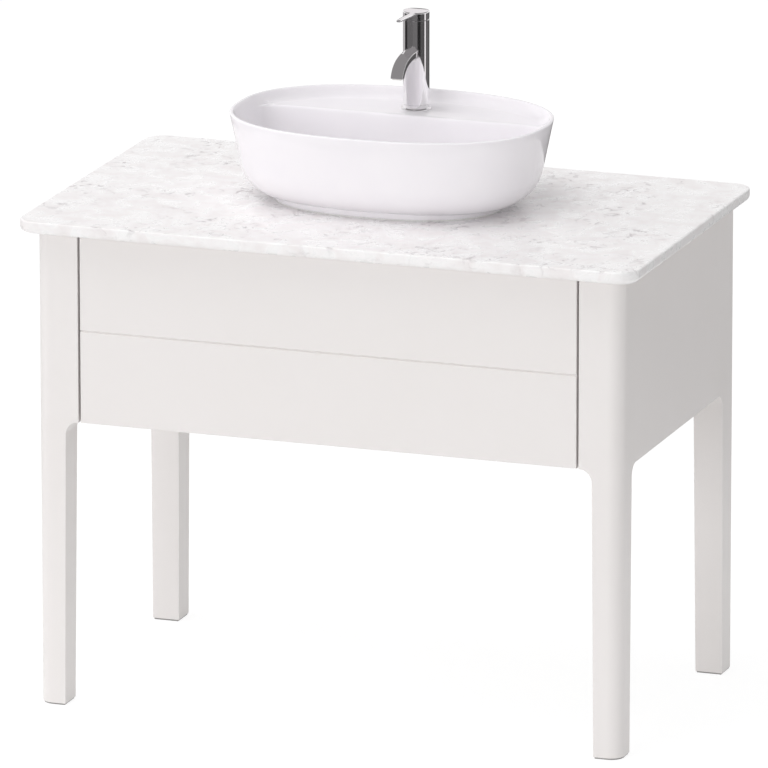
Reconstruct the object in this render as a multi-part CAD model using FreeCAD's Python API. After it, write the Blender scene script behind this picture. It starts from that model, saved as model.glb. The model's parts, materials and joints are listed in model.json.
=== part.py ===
import FreeCAD, Part
import math
import os

from FreeCAD import Vector

# Freestanding vanity unit: a lacquered case on four tapered legs, one wide pull-out, a stone worktop,
# a countertop basin, a single lever tap and a bottle trap.
# Millimetres. X runs to the right, Y to the wall, Z up.
# The origin is on the floor, under the middle of the worktop.

# Case, as driving sizes
unit_width = 938.0
unit_depth = 537.0
leg_height = 450.0
case_body_height = 295.0

# Worktop
worktop_thickness = 20.0
worktop_overhang_side = 25.0
worktop_overhang_front = 25.0
worktop_overhang_rear = 28.0
worktop_corner_radius = 32.0
worktop_top_round = 2.5
worktop_lower_round = 10.0

# Corner posts, each of which runs down as a leg that tapers on its two inner faces
stile_width = 68.0
stile_depth = 68.0
leg_top_width = 47.0
leg_top_depth = 49.0
leg_foot_width = 43.0
leg_foot_depth = 44.0
leg_fillet = 20.0
leg_fillet_land = 0.5
front_corner_radius = 22.0
rear_corner_radius = 4.0

# Levelling glides under the legs
glide_thickness = 2.5
glide_inset = 1.5
glide_stud_radius = 4.0
glide_stud_length = 30.0
glide_stud_share = 0.54
glide_fit_gap = 0.05
foot_insert_radius = 6.0
foot_insert_length = 18.0

# Boards of the case
side_panel_thickness = 19.0
inner_side_thickness = 16.0
bottom_panel_thickness = 16.0
bottom_panel_recess = 2.0
top_rail_thickness = 16.0
top_rail_depth = 80.0
back_rail_thickness = 16.0
upper_back_rail_share = 0.36
lower_back_rail_share = 0.23

# Dowels and screws that join the boards
dowel_radius = 4.0
dowel_length = 40.0
dowel_height_shares = (0.25, 0.75)
screw_radius = 2.5
screw_length = 50.0
screw_head_radius = 5.0
screw_head_length = 4.0
post_screw_height_shares = (0.15, 0.5, 0.85)
rail_screw_shares = (0.2, 0.8)
panel_screw_shares = (0.1, 0.5, 0.9)

# Pull-out: front, box and the cut-out that passes the trap
front_thickness = 19.0
front_gap_side = 3.7
front_gap_top = 3.0
front_gap_rear = 3.0
front_edge_round = 0.8
groove_height = 144.0
groove_width = 4.5
groove_depth = 2.5
drawer_side_thickness = 15.0
drawer_side_lift = 6.0
drawer_top_gap = 43.0
drawer_rear_gap = 42.0
drawer_bottom_thickness = 12.0
drawer_bottom_lift = 10.0
drawer_back_thickness = 15.0
trap_clearance = 21.0
guard_thickness = 3.0
guard_corner_radius = 40.0
front_bracket_leg = 32.0
front_bracket_gauge = 2.0
front_bracket_height_share = 0.24
front_bracket_place_shares = (0.2, 0.62)

# Telescopic runners, three nested channels on each side
runner_width = 13.0
runner_height = 45.0
runner_gauge = 1.2
runner_gap = 0.3
runner_lip = 9.0
runner_lift = 26.0
runner_front_gap = 2.0
runner_rear_gap = 5.0

# Push latch behind the front
latch_block_width = 22.0
latch_block_height = 20.0
latch_block_length = 70.0
latch_plate_width = 44.0
latch_plate_length = 40.0
latch_plate_thickness = 2.0
latch_plunger_radius = 4.0
latch_plunger_length = 52.0
latch_plunger_travel = 5.0
latch_fit_gap = 0.05
latch_tip_gap = 0.3
latch_tip_round = 1.0

# Steel angles that tie the case to the wall
wall_bracket_gauge = 2.5
wall_bracket_height = 44.0
wall_bracket_flange = 30.0
wall_bracket_lap = 34.0
wall_bracket_drop = 4.0
wall_bracket_hole_radius = 3.5

# Basin, a rounded oval bowl with a raised deck for the tap at its rear
basin_offset = 22.5
basin_height = 134.0
basin_half_width = 249.0
basin_half_depth = 178.5
basin_oval_share = 2.37
basin_slope_share = 0.2
basin_round_radius = 60.0
basin_base_angle = 62.0
basin_rim_thickness = 6.0
basin_rim_round = 2.4
basin_foot_height = 11.0
basin_foot_step = 1.5
basin_foot_end_step = 18.0
basin_foot_width = 13.0
basin_floor_height = 22.0
basin_wall_gain_share = 0.04
bowl_round_radius = 48.0
bowl_base_angle = 84.0
deck_drop = 18.0
deck_front_offset = 66.0
deck_thickness = 12.0
deck_slope_share = 0.2
deck_corner_radius = 16.0
drain_forward = 47.5
drain_radius = 23.0
drain_dish_radius = 36.0
drain_dish_depth = 3.0
seal_thickness = 1.5
seal_inset = 2.0
seal_width = 8.0
hollow_half_width = 118.0
hollow_front_gap = 14.0
hollow_depth = 56.0
hollow_floor_height = 46.0
hose_shaft_half_width = 58.0
hose_shaft_front_gap = 15.0
hose_shaft_depth = 36.0

# Openings through the worktop
worktop_drain_radius = 38.0
worktop_hose_radius = 17.0

# Waste fitting with a fixed cover, and its fixings
waste_flange_radius = 32.0
waste_flange_thickness = 2.5
waste_tube_radius = 21.0
waste_tube_bore = 17.0
waste_length = 95.0
waste_cover_radius = 30.0
waste_cover_thickness = 3.0
waste_cover_lift = 6.0
waste_stem_radius = 4.0
waste_spider_drop = 12.0
waste_spider_height = 3.0
waste_gasket_thickness = 3.0
waste_gasket_radius = 30.0
waste_nut_radius = 31.0
waste_nut_height = 9.0

# Bottle trap
pipe_radius = 16.0
pipe_wall = 1.5
tailpiece_insert = 12.0
trap_radius = 30.0
trap_wall = 3.0
trap_head_rise = 38.0
trap_head_drop = 42.0
trap_cup_radius = 34.0
trap_cup_length = 62.0
trap_cup_lap = 14.0
trap_dip = 52.0
slip_nut_radius = 25.0
slip_nut_length = 20.0
slip_nut_grip = 10.0
trap_stub_radius = 19.0
trap_stub_length = 22.0
outlet_spigot_step = 0.6
outlet_shoulder_gap = 3.0

# Tap
tap_offset = 112.5
tap_radius = 20.3
tap_base_radius = 23.5
tap_base_thickness = 3.0
tap_base_round = 1.0
tap_body_height = 138.3
tap_hole_radius = 17.5
tap_lower_bore = 16.0
tap_web = 12.0
cartridge_radius = 15.0
cartridge_length = 41.0
cartridge_gap = 0.1
cartridge_stem_radius = 5.0
cartridge_stem_length = 3.0
spindle_fit_gap = 0.05
head_gap = 0.6
head_height = 12.5
head_edge_round = 1.4
pivot_lift = 3.0
ball_radius = 16.4
ball_gap = 0.4
ball_top_height = 2.2
ball_base_gap = 0.3
pocket_top_height = 7.4
pivot_pin_radius = 1.8
pivot_pin_reach = 18.4
pivot_pin_gap = 0.3
lift_angle = 18.0
relief_angle = 1.5
lever_reach = 82.5
lever_root_width = 13.0
lever_tip_width = 7.5
lever_thickness = 4.0
lever_top_drop = 0.7
lever_tip_rise = 3.4
lever_tip_radius = 2.5
spout_width = 20.0
spout_top_height = 93.5
spout_root_thickness = 9.5
spout_tip_thickness = 7.0
spout_reach = 92.0
spout_curve_start = 19.0
spout_curve_drop = 44.0
spout_curve_power = 2.6
spout_tip_height = 63.5
spout_edge_round = 1.2
aerator_width = 15.0
aerator_depth = 5.0
aerator_height = 1.8
inlet_radius = 6.5
inlet_bore = 4.5
inlet_length = 30.0
inlet_rise = 6.0
inlet_spacing = 17.0
inlet_offset = 3.0
stud_radius = 4.0
stud_length = 52.0
stud_rise = 6.0
stud_offset = 9.0
clamp_radius = 23.0
clamp_thickness = 3.0
clamp_slot_half_width = 16.0
clamp_slot_start = 4.0
nut_radius = 7.5
nut_height = 6.5

# How far a cutting shape runs past what it cuts, and how near an edge lies to where it is looked for
overrun = 4.0
match_tolerance = 0.05

# Counts
oval_points = 40
arc_sections = 5
nut_sides = 6

# Places worked out from the sizes
half_width = unit_width / 2
case_height = leg_height + case_body_height
worktop_depth = worktop_overhang_front + unit_depth + worktop_overhang_rear
worktop_half_width = half_width + worktop_overhang_side
wall_y = worktop_depth / 2
front_y = worktop_overhang_front - wall_y
rear_y = front_y + unit_depth
case_middle_y = (front_y + rear_y) / 2
worktop_z = case_height + worktop_thickness

post_inner_x = half_width - stile_width
case_inner_x = post_inner_x - inner_side_thickness
case_front_y = front_y + front_thickness + front_gap_rear
back_rail_y = rear_y - back_rail_thickness
bottom_panel_z = leg_height + bottom_panel_recess
bottom_panel_top = bottom_panel_z + bottom_panel_thickness
top_rail_z = case_height - top_rail_thickness
rail_space = case_height - bottom_panel_top
upper_back_rail_z = case_height - rail_space * upper_back_rail_share
lower_back_rail_top = bottom_panel_top + rail_space * lower_back_rail_share

drawer_half_width = case_inner_x - runner_width
drawer_inner_x = drawer_half_width - drawer_side_thickness
drawer_front_y = front_y + front_thickness
drawer_rear_y = back_rail_y - drawer_rear_gap
drawer_z = bottom_panel_top + drawer_side_lift
drawer_top_z = top_rail_z - latch_plate_thickness - latch_block_height - drawer_top_gap
drawer_bottom_z = drawer_z + drawer_bottom_lift
drawer_floor_z = drawer_bottom_z + drawer_bottom_thickness

basin_y = basin_offset
deck_z = worktop_z + basin_height - deck_drop
deck_front_y = basin_y + deck_front_offset
drain_y = basin_y - drain_forward
drain_z = worktop_z + basin_floor_height - drain_dish_depth
hollow_front_y = deck_front_y + hollow_front_gap
hose_shaft_front_y = hollow_front_y - hose_shaft_front_gap
hose_y = hose_shaft_front_y + hose_shaft_depth / 2
tap_y = basin_y + tap_offset

guard_half_width = trap_cup_radius + trap_clearance
guard_front_y = drain_y - guard_half_width


def box(x0, x1, y0, y1, z0, z1):
    return Part.makeBox(x1 - x0, y1 - y0, z1 - z0, Vector(x0, y0, z0))


def rod(radius, start, end):
    direction = Vector(*end) - Vector(*start)
    return Part.makeCylinder(radius, direction.Length, Vector(*start), direction)


def upright(radius, x, y, z0, z1):
    return rod(radius, (x, y, z0), (x, y, z1))


def pipe(outer, inner, x, y, z0, z1):
    return upright(outer, x, y, z0, z1).cut(upright(inner, x, y, z0 - overrun, z1 + overrun))


def prism(edges, direction):
    return Part.Face(Part.Wire(edges)).extrude(direction)


def polygon(points):
    corners = [Vector(*point) for point in points]
    return [Part.makeLine(a, b) for a, b in zip(corners, corners[1:] + corners[:1])]


def along(low, high, share):
    return low + (high - low) * share


def nut_blank(radius, x, y, z0, z1):
    turns = [2 * math.pi * k / nut_sides for k in range(nut_sides)]
    points = [(x + radius * math.cos(t), y + radius * math.sin(t), z0) for t in turns]
    return prism(polygon(points), Vector(0, 0, z1 - z0))


def mirrored(shape):
    return shape.mirror(Vector(0, 0, 0), Vector(1, 0, 0))


def front_to_rear(shape):
    return shape.mirror(Vector(0, case_middle_y, 0), Vector(0, 1, 0))


def cut_all(shape, tools):
    for tool in tools:
        shape = shape.cut(tool)
    return shape


def fuse_all(shapes):
    result = shapes[0]
    for shape in shapes[1:]:
        result = result.fuse(shape)
    return result.removeSplitter()


def upright_edges(shape, x, y):
    # the vertical edges at one place of the plan
    found = []
    for edge in shape.Edges:
        ends = [vertex.Point for vertex in edge.Vertexes]
        near = all(math.hypot(p.x - x, p.y - y) < match_tolerance for p in ends)
        if len(ends) == 2 and near and abs(ends[0].z - ends[1].z) > match_tolerance:
            found.append(edge)
    return found


def level_edges(shape, z):
    # the edges that lie flat at one height
    low = z - match_tolerance
    high = z + match_tolerance
    return [e for e in shape.Edges if low < e.BoundBox.ZMin and e.BoundBox.ZMax < high]


# Legs


def leg_outline(place, stile, top, foot):
    # the post in one elevation: a straight outer face, a tapered inner one and a round under the stile
    fillet = min(leg_fillet, stile - top - leg_fillet_land)
    bend = fillet * math.sin(math.pi / 4)
    arc = Part.Arc(
        place(top, leg_height - fillet),
        place(top + fillet - bend, leg_height - fillet + bend),
        place(top + fillet, leg_height),
    ).toShape()
    rest = [
        place(top + fillet, leg_height),
        place(stile, leg_height),
        place(stile, case_height),
        place(0, case_height),
        place(0, glide_thickness),
        place(foot, glide_thickness),
        place(top, leg_height - fillet),
    ]
    return [arc] + [Part.makeLine(a, b) for a, b in zip(rest, rest[1:])]


def front_right_post(corner_radius):
    def on_front(u, z):
        return Vector(half_width - u, front_y, z)

    def on_side(v, z):
        return Vector(half_width, front_y + v, z)

    front_edges = leg_outline(on_front, stile_width, leg_top_width, leg_foot_width)
    side_edges = leg_outline(on_side, stile_depth, leg_top_depth, leg_foot_depth)
    front_view = prism(front_edges, Vector(0, stile_depth, 0))
    side_view = prism(side_edges, Vector(-stile_width, 0, 0))
    post = front_view.common(side_view)
    return post.makeFillet(corner_radius, upright_edges(post, half_width, front_y))


def glide_place():
    return half_width - leg_foot_width * glide_stud_share, front_y + leg_foot_depth * glide_stud_share


def foot_insert():
    x, y = glide_place()
    bore = glide_stud_radius + glide_fit_gap
    return pipe(foot_insert_radius, bore, x, y, glide_thickness, glide_thickness + foot_insert_length)


def foot_hole():
    x, y = glide_place()
    insert = upright(foot_insert_radius, x, y, 0, glide_thickness + foot_insert_length)
    stud = upright(glide_stud_radius + glide_fit_gap, x, y, 0, glide_thickness + glide_stud_length + overrun)
    return insert.fuse(stud)


def glide(corner_radius):
    # a flat pad in the shape of the foot, on a stud that screws up into the leg
    x, y = glide_place()
    pad = box(
        half_width - leg_foot_width + glide_inset,
        half_width - glide_inset,
        front_y + glide_inset,
        front_y + leg_foot_depth - glide_inset,
        0,
        glide_thickness,
    )
    outer_corner = upright_edges(pad, half_width - glide_inset, front_y + glide_inset)
    pad = pad.makeFillet(corner_radius - glide_inset, outer_corner)
    return pad.fuse(upright(glide_stud_radius, x, y, 0, glide_thickness + glide_stud_length)).removeSplitter()


def four_corners(shape):
    return [mirrored(shape), shape, mirrored(front_to_rear(shape)), front_to_rear(shape)]


# Boards of the case


def side_panel():
    return box(
        half_width - side_panel_thickness,
        half_width,
        front_y + stile_depth,
        rear_y - stile_depth,
        leg_height,
        case_height,
    )


def inner_side():
    return box(case_inner_x, post_inner_x, case_front_y, rear_y, bottom_panel_top, case_height)


def bottom_panel():
    # a board between the posts that carries the inner sides and closes the case from below
    middle = box(-post_inner_x, post_inner_x, case_front_y, rear_y, bottom_panel_z, bottom_panel_top)
    reach = half_width - side_panel_thickness
    wide = box(
        -reach, reach, front_y + stile_depth, rear_y - stile_depth, bottom_panel_z, bottom_panel_top
    )
    return middle.fuse(wide).removeSplitter()


def top_rail_front():
    rear = case_front_y + top_rail_depth
    return box(-case_inner_x, case_inner_x, case_front_y, rear, top_rail_z, case_height)


def top_rail_rear():
    front = back_rail_y - top_rail_depth
    return box(-case_inner_x, case_inner_x, front, back_rail_y, top_rail_z, case_height)


def back_rail_upper():
    return box(-case_inner_x, case_inner_x, back_rail_y, rear_y, upper_back_rail_z, case_height)


def back_rail_lower():
    return box(-case_inner_x, case_inner_x, back_rail_y, rear_y, bottom_panel_top, lower_back_rail_top)


def dowels():
    # wooden pins between the side panel's ends and the posts, for the right-hand side
    x = half_width - side_panel_thickness / 2
    half = dowel_length / 2
    pins = []
    for share in dowel_height_shares:
        z = along(leg_height, case_height, share)
        for y in (front_y + stile_depth, rear_y - stile_depth):
            pins.append(rod(dowel_radius, (x, y - half, z), (x, y + half, z)))
    return pins


def screw(x, y, z, direction):
    # a screw whose head is flush at the given place and whose shank points along the direction
    place = Vector(x, y, z)
    head = Part.makeCylinder(screw_head_radius, screw_head_length, place, Vector(*direction))
    shank = Part.makeCylinder(screw_radius, screw_length, place, Vector(*direction))
    return head.fuse(shank).removeSplitter()


def board_screws():
    # screws through the inner side into the rails' ends, and up through the bottom panel, right-hand side
    front_rail_y = (case_front_y, case_front_y + top_rail_depth)
    rear_rail_y = (back_rail_y - top_rail_depth, back_rail_y)
    back_middle = (back_rail_y + rear_y) / 2
    board_middle = (case_inner_x + post_inner_x) / 2
    places = []
    for share in rail_screw_shares:
        places.append((along(*front_rail_y, share), top_rail_z + top_rail_thickness / 2))
        places.append((along(*rear_rail_y, share), top_rail_z + top_rail_thickness / 2))
        places.append((back_middle, along(upper_back_rail_z, top_rail_z, share)))
        places.append((back_middle, along(bottom_panel_top, lower_back_rail_top, share)))
    result = [screw(post_inner_x, y, z, (-1, 0, 0)) for y, z in places]
    for share in panel_screw_shares:
        y = along(case_front_y, back_rail_y, share)
        result.append(screw(board_middle, y, bottom_panel_z, (0, 0, 1)))
    return result


def post_screws():
    # screws from inside the case through the inner side into the two posts, right-hand side
    result = []
    for share in post_screw_height_shares:
        z = along(bottom_panel_top, top_rail_z, share)
        for y in (case_front_y + stile_depth / 2, rear_y - stile_depth / 2):
            result.append(screw(case_inner_x, y, z, (1, 0, 0)))
    return result


# Worktop


def worktop():
    slab = box(-worktop_half_width, worktop_half_width, -wall_y, wall_y, case_height, worktop_z)
    corners = []
    for x in (-worktop_half_width, worktop_half_width):
        for y in (-wall_y, wall_y):
            corners += upright_edges(slab, x, y)
    slab = slab.makeFillet(worktop_corner_radius, corners)
    slab = slab.makeFillet(worktop_top_round, level_edges(slab, worktop_z))
    slab = slab.makeFillet(worktop_lower_round, level_edges(slab, case_height))
    drain = upright(worktop_drain_radius, 0, drain_y, case_height - overrun, worktop_z + overrun)
    hoses = upright(worktop_hose_radius, 0, hose_y, case_height - overrun, worktop_z + overrun)
    return cut_all(slab, [drain, hoses])


# Basin


def oval(half_x, half_y, z):
    # a closed superellipse about the basin's centre
    power = 2 / basin_oval_share
    points = []
    for k in range(oval_points):
        turn = 2 * math.pi * k / oval_points
        c = math.cos(turn)
        s = math.sin(turn)
        x = half_x * math.copysign(abs(c) ** power, c)
        y = basin_y + half_y * math.copysign(abs(s) ** power, s)
        points.append(Vector(x, y, z))
    curve = Part.BSplineCurve()
    curve.interpolate(points, PeriodicFlag=True)
    return Part.Wire([curve.toShape()])


def inset_oval(height, inset):
    return oval(basin_half_width - inset, basin_half_depth - inset, worktop_z + height)


def rounded_bowl(top, top_inset, slope, radius, base, end_angle):
    # a solid oval with a straight sloping wall that rolls under with one radius and stops at the base
    start = math.atan(slope)
    end = math.radians(end_angle)
    join = base + radius * (math.sin(end) - math.sin(start))
    join_inset = top_inset + slope * (top - join)
    rolled = []
    for k in range(arc_sections + 1):
        turn = along(start, end, k / arc_sections)
        height = join - radius * (math.sin(turn) - math.sin(start))
        rolled.append(inset_oval(height, join_inset + radius * (math.cos(start) - math.cos(turn))))
    wall = Part.makeLoft([inset_oval(top, top_inset), rolled[0]], True, True)
    return wall.fuse(Part.makeLoft(rolled, True, False)).removeSplitter()


def rolled_inset():
    # how far in from the rim the outer wall has come at its base
    start = math.atan(basin_slope_share)
    end = math.radians(basin_base_angle)
    join = basin_foot_height + basin_round_radius * (math.sin(end) - math.sin(start))
    return basin_slope_share * (basin_height - join) + basin_round_radius * (math.cos(start) - math.cos(end))


def outer_bowl():
    return rounded_bowl(
        basin_height, 0, basin_slope_share, basin_round_radius, basin_foot_height, basin_base_angle
    )


def inner_bowl():
    slope = basin_slope_share + basin_wall_gain_share
    inset = basin_rim_thickness - slope * overrun
    return rounded_bowl(
        basin_height + overrun, inset, slope, bowl_round_radius, basin_floor_height, bowl_base_angle
    )


def foot_half_sizes():
    inset = rolled_inset() + basin_foot_step
    return basin_half_width - inset - basin_foot_end_step, basin_half_depth - inset


def oval_ring(half_x, half_y, width, z0, z1):
    outer = Part.Face(oval(half_x, half_y, z0)).extrude(Vector(0, 0, z1 - z0))
    inner = Part.Face(oval(half_x - width, half_y - width, z0 - overrun))
    return outer.cut(inner.extrude(Vector(0, 0, z1 - z0 + 2 * overrun)))


def deck_block():
    # everything behind the deck's sloping front wall and below the deck
    floor_z = worktop_z
    lean = deck_slope_share * (deck_z - floor_z)
    rear = basin_y + basin_half_depth + overrun
    corners = [
        (-basin_half_width, deck_front_y, deck_z),
        (-basin_half_width, rear, deck_z),
        (-basin_half_width, rear, floor_z),
        (-basin_half_width, deck_front_y - lean, floor_z),
    ]
    return prism(polygon(corners), Vector(2 * basin_half_width, 0, 0))


def bowl_cavity():
    hollow = inner_bowl().cut(deck_block())
    wall_edges = []
    for edge in hollow.Edges:
        bounds = edge.BoundBox
        tall = bounds.ZLength > deck_drop and bounds.ZMax < deck_z + match_tolerance
        side = bounds.XLength < basin_half_width / 2 and bounds.YMin > basin_y
        if tall and side:
            wall_edges.append(edge)
    return hollow.makeFillet(deck_corner_radius, wall_edges)


def drain_dish():
    # a shallow round dip in the floor that leads to the drain
    low = worktop_z + basin_floor_height - drain_dish_depth
    high = worktop_z + basin_floor_height
    return Part.makeCone(
        waste_flange_radius, drain_dish_radius, high - low, Vector(0, drain_y, low), Vector(0, 0, 1)
    )


def basin_hollows():
    # the hidden hollow under the tap deck, and the shaft that leads its hoses down to the worktop
    deck_under = deck_z - deck_thickness
    upper = box(
        -hollow_half_width,
        hollow_half_width,
        hollow_front_y,
        hollow_front_y + hollow_depth,
        worktop_z + hollow_floor_height,
        deck_under,
    )
    shaft = box(
        -hose_shaft_half_width,
        hose_shaft_half_width,
        hose_shaft_front_y,
        hose_shaft_front_y + hose_shaft_depth,
        worktop_z - overrun,
        worktop_z + hollow_floor_height + overrun,
    )
    return [upper, shaft]


def basin():
    half_x, half_y = foot_half_sizes()
    foot = oval_ring(
        half_x, half_y, basin_foot_width, worktop_z + seal_thickness, worktop_z + basin_foot_height + overrun
    )
    shell = outer_bowl()
    rim = level_edges(shell, worktop_z + basin_height)
    shell = shell.makeFillet(basin_rim_round, rim)
    shell = shell.cut(bowl_cavity()).fuse(foot)
    drain = upright(drain_radius, 0, drain_y, worktop_z - overrun, deck_z)
    tap_hole = upright(tap_hole_radius, 0, tap_y, deck_z - deck_thickness - overrun, deck_z + overrun)
    return cut_all(shell, [drain_dish(), drain, tap_hole] + basin_hollows())


def basin_seal():
    half_x, half_y = foot_half_sizes()
    return oval_ring(
        half_x - seal_inset, half_y - seal_inset, seal_width, worktop_z, worktop_z + seal_thickness
    )


# Waste and trap

waste_top_z = drain_z + waste_flange_thickness
waste_lower_z = drain_z - waste_length
basin_under_z = worktop_z + basin_foot_height
waste_nut_top_z = basin_under_z - waste_gasket_thickness
trap_outlet_z = (lower_back_rail_top + upper_back_rail_z) / 2
trap_top_z = trap_outlet_z + trap_head_rise
trap_head_z = trap_outlet_z - trap_head_drop
trap_base_z = trap_head_z + trap_cup_lap - trap_cup_length
spigot_radius = pipe_radius - outlet_spigot_step


def waste_body():
    flange = upright(waste_flange_radius, 0, drain_y, drain_z, waste_top_z)
    tube = upright(waste_tube_radius, 0, drain_y, waste_lower_z, drain_z)
    bore = upright(waste_tube_bore, 0, drain_y, waste_lower_z - overrun, waste_top_z + overrun)
    return flange.fuse(tube).removeSplitter().cut(bore)


def waste_cover():
    spider_z = drain_z - waste_spider_drop
    cover_z = waste_top_z + waste_cover_lift
    cover = upright(waste_cover_radius, 0, drain_y, cover_z, cover_z + waste_cover_thickness)
    cover = cover.makeFillet(waste_cover_thickness / 2, level_edges(cover, cover_z + waste_cover_thickness))
    stem = upright(waste_stem_radius, 0, drain_y, spider_z, cover_z)
    bar = box(
        -waste_tube_bore,
        waste_tube_bore,
        drain_y - waste_stem_radius / 2,
        drain_y + waste_stem_radius / 2,
        spider_z,
        spider_z + waste_spider_height,
    )
    bar = bar.common(upright(waste_tube_bore, 0, drain_y, spider_z, cover_z))
    return fuse_all([cover, stem, bar])


def waste_gasket():
    return pipe(waste_gasket_radius, waste_tube_radius, 0, drain_y, waste_nut_top_z, basin_under_z)


def waste_nut():
    lower = waste_nut_top_z - waste_nut_height
    nut = nut_blank(waste_nut_radius, 0, drain_y, lower, waste_nut_top_z)
    return nut.cut(upright(waste_tube_radius, 0, drain_y, lower - overrun, waste_nut_top_z + overrun))


def trap_tailpiece():
    return pipe(
        pipe_radius,
        pipe_radius - pipe_wall,
        0,
        drain_y,
        trap_outlet_z - trap_dip,
        waste_lower_z + tailpiece_insert,
    )


def along_y(radius, y0, y1):
    return rod(radius, (0, y0, trap_outlet_z), (0, y1, trap_outlet_z))


trap_stub_end = drain_y + trap_radius + trap_stub_length


def trap_body():
    shell = upright(trap_radius, 0, drain_y, trap_head_z, trap_top_z)
    stub = along_y(trap_stub_radius, drain_y, trap_stub_end)
    hollow = upright(trap_radius - trap_wall, 0, drain_y, trap_head_z - overrun, trap_top_z - trap_wall)
    mouth = upright(pipe_radius, 0, drain_y, trap_outlet_z, trap_top_z + overrun)
    passage = along_y(spigot_radius, drain_y, trap_stub_end + overrun)
    return cut_all(shell.fuse(stub).removeSplitter(), [hollow, mouth, passage])


def trap_cup():
    top = trap_base_z + trap_cup_length
    shell = upright(trap_cup_radius, 0, drain_y, trap_base_z, top)
    shell = shell.makeFillet(trap_wall, level_edges(shell, trap_base_z))
    socket = upright(trap_radius, 0, drain_y, trap_head_z, top + overrun)
    hollow = upright(trap_radius - trap_wall, 0, drain_y, trap_base_z + trap_wall, top)
    return cut_all(shell, [socket, hollow])


def trap_nuts():
    # one nut on the waste, one on the trap's mouth and one on its outlet
    waste_joint = upright(
        slip_nut_radius, 0, drain_y, waste_lower_z - slip_nut_grip, waste_lower_z + slip_nut_grip
    )
    waste_joint = cut_all(
        waste_joint,
        [
            upright(waste_tube_radius, 0, drain_y, waste_lower_z, waste_lower_z + slip_nut_length),
            upright(pipe_radius, 0, drain_y, waste_lower_z - slip_nut_length, waste_lower_z),
        ],
    )
    mouth_joint = pipe(slip_nut_radius, pipe_radius, 0, drain_y, trap_top_z, trap_top_z + slip_nut_length)
    outlet_joint = along_y(slip_nut_radius, trap_stub_end - slip_nut_grip, trap_stub_end + slip_nut_grip)
    outlet_joint = cut_all(
        outlet_joint,
        [
            along_y(trap_stub_radius, trap_stub_end - slip_nut_length, trap_stub_end),
            along_y(spigot_radius, trap_stub_end, trap_stub_end + slip_nut_length),
        ],
    )
    return Part.makeCompound([waste_joint, mouth_joint, outlet_joint])


def trap_outlet_pipe():
    # the end inside the trap's stub and nut is a little thinner than the rest
    start = drain_y + trap_radius
    shoulder = trap_stub_end + slip_nut_grip + outlet_shoulder_gap
    spigot = along_y(spigot_radius, start, shoulder)
    outside = spigot.fuse(along_y(pipe_radius, shoulder, wall_y))
    return outside.cut(along_y(pipe_radius - pipe_wall, start - overrun, wall_y + overrun))


# Pull-out


def drawer_front():
    half = post_inner_x - front_gap_side
    top = case_height - front_gap_top
    slab = box(-half, half, front_y, drawer_front_y, leg_height, top)
    face_edges = []
    for edge in slab.Edges:
        bounds = edge.BoundBox
        if bounds.YMax < front_y + front_edge_round:
            face_edges.append(edge)
    slab = slab.makeFillet(front_edge_round, face_edges)
    middle = leg_height + groove_height
    mouth = groove_width / 2 * (1 + overrun / groove_depth)
    section = [
        (-half - overrun, front_y - overrun, middle - mouth),
        (-half - overrun, front_y + groove_depth, middle),
        (-half - overrun, front_y - overrun, middle + mouth),
    ]
    groove = prism(polygon(section), Vector(2 * (half + overrun), 0, 0))
    return slab.cut(groove)


def drawer_side():
    return box(drawer_inner_x, drawer_half_width, drawer_front_y, drawer_rear_y, drawer_z, drawer_top_z)


def guard_outline(half, front, z0, z1):
    # the solid U shape that is open at the drawer's rear
    block = box(-half, half, front, drawer_rear_y + overrun, z0, z1)
    radius = min(guard_corner_radius, half - guard_thickness)
    return block.makeFillet(radius, upright_edges(block, -half, front) + upright_edges(block, half, front))


def drawer_bottom():
    board = box(
        -drawer_inner_x, drawer_inner_x, drawer_front_y, drawer_rear_y, drawer_bottom_z, drawer_floor_z
    )
    slot = guard_outline(
        guard_half_width, guard_front_y, drawer_bottom_z - overrun, drawer_floor_z + overrun
    )
    return board.cut(slot)


def trap_guard():
    outer = guard_outline(
        guard_half_width + guard_thickness, guard_front_y - guard_thickness, drawer_floor_z, drawer_top_z
    )
    inner = guard_outline(guard_half_width, guard_front_y, drawer_floor_z - overrun, drawer_top_z + overrun)
    trim = box(
        -drawer_inner_x, drawer_inner_x, drawer_front_y, drawer_rear_y, drawer_floor_z, drawer_top_z
    )
    return outer.cut(inner).common(trim)


def drawer_back():
    return box(
        guard_half_width + guard_thickness,
        drawer_inner_x,
        drawer_rear_y - drawer_back_thickness,
        drawer_rear_y,
        drawer_floor_z,
        drawer_top_z,
    )


def front_brackets():
    # small steel angles in the corners between the front and the sides
    angles = []
    height = (drawer_top_z - drawer_floor_z) * front_bracket_height_share
    for share in front_bracket_place_shares:
        z0 = along(drawer_floor_z, drawer_top_z, share)
        z1 = z0 + height
        on_side = box(
            drawer_inner_x - front_bracket_gauge,
            drawer_inner_x,
            drawer_front_y,
            drawer_front_y + front_bracket_leg,
            z0,
            z1,
        )
        on_front = box(
            drawer_inner_x - front_bracket_leg,
            drawer_inner_x,
            drawer_front_y,
            drawer_front_y + front_bracket_gauge,
            z0,
            z1,
        )
        angle = on_side.fuse(on_front).removeSplitter()
        angles += [angle, mirrored(angle)]
    return Part.makeCompound(angles)


# Runners, right-hand side


def channel(web_x, lip_x, z0, z1):
    # a channel along Y: its web stands at web_x and its two flanges reach to lip_x
    gauge = math.copysign(runner_gauge, lip_x - web_x)
    y0 = case_front_y + runner_front_gap
    points = [
        (web_x, y0, z0),
        (lip_x, y0, z0),
        (lip_x, y0, z0 + runner_gauge),
        (web_x + gauge, y0, z0 + runner_gauge),
        (web_x + gauge, y0, z1 - runner_gauge),
        (lip_x, y0, z1 - runner_gauge),
        (lip_x, y0, z1),
        (web_x, y0, z1),
    ]
    return prism(polygon(points), Vector(0, drawer_rear_y - runner_rear_gap - y0, 0))


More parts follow.
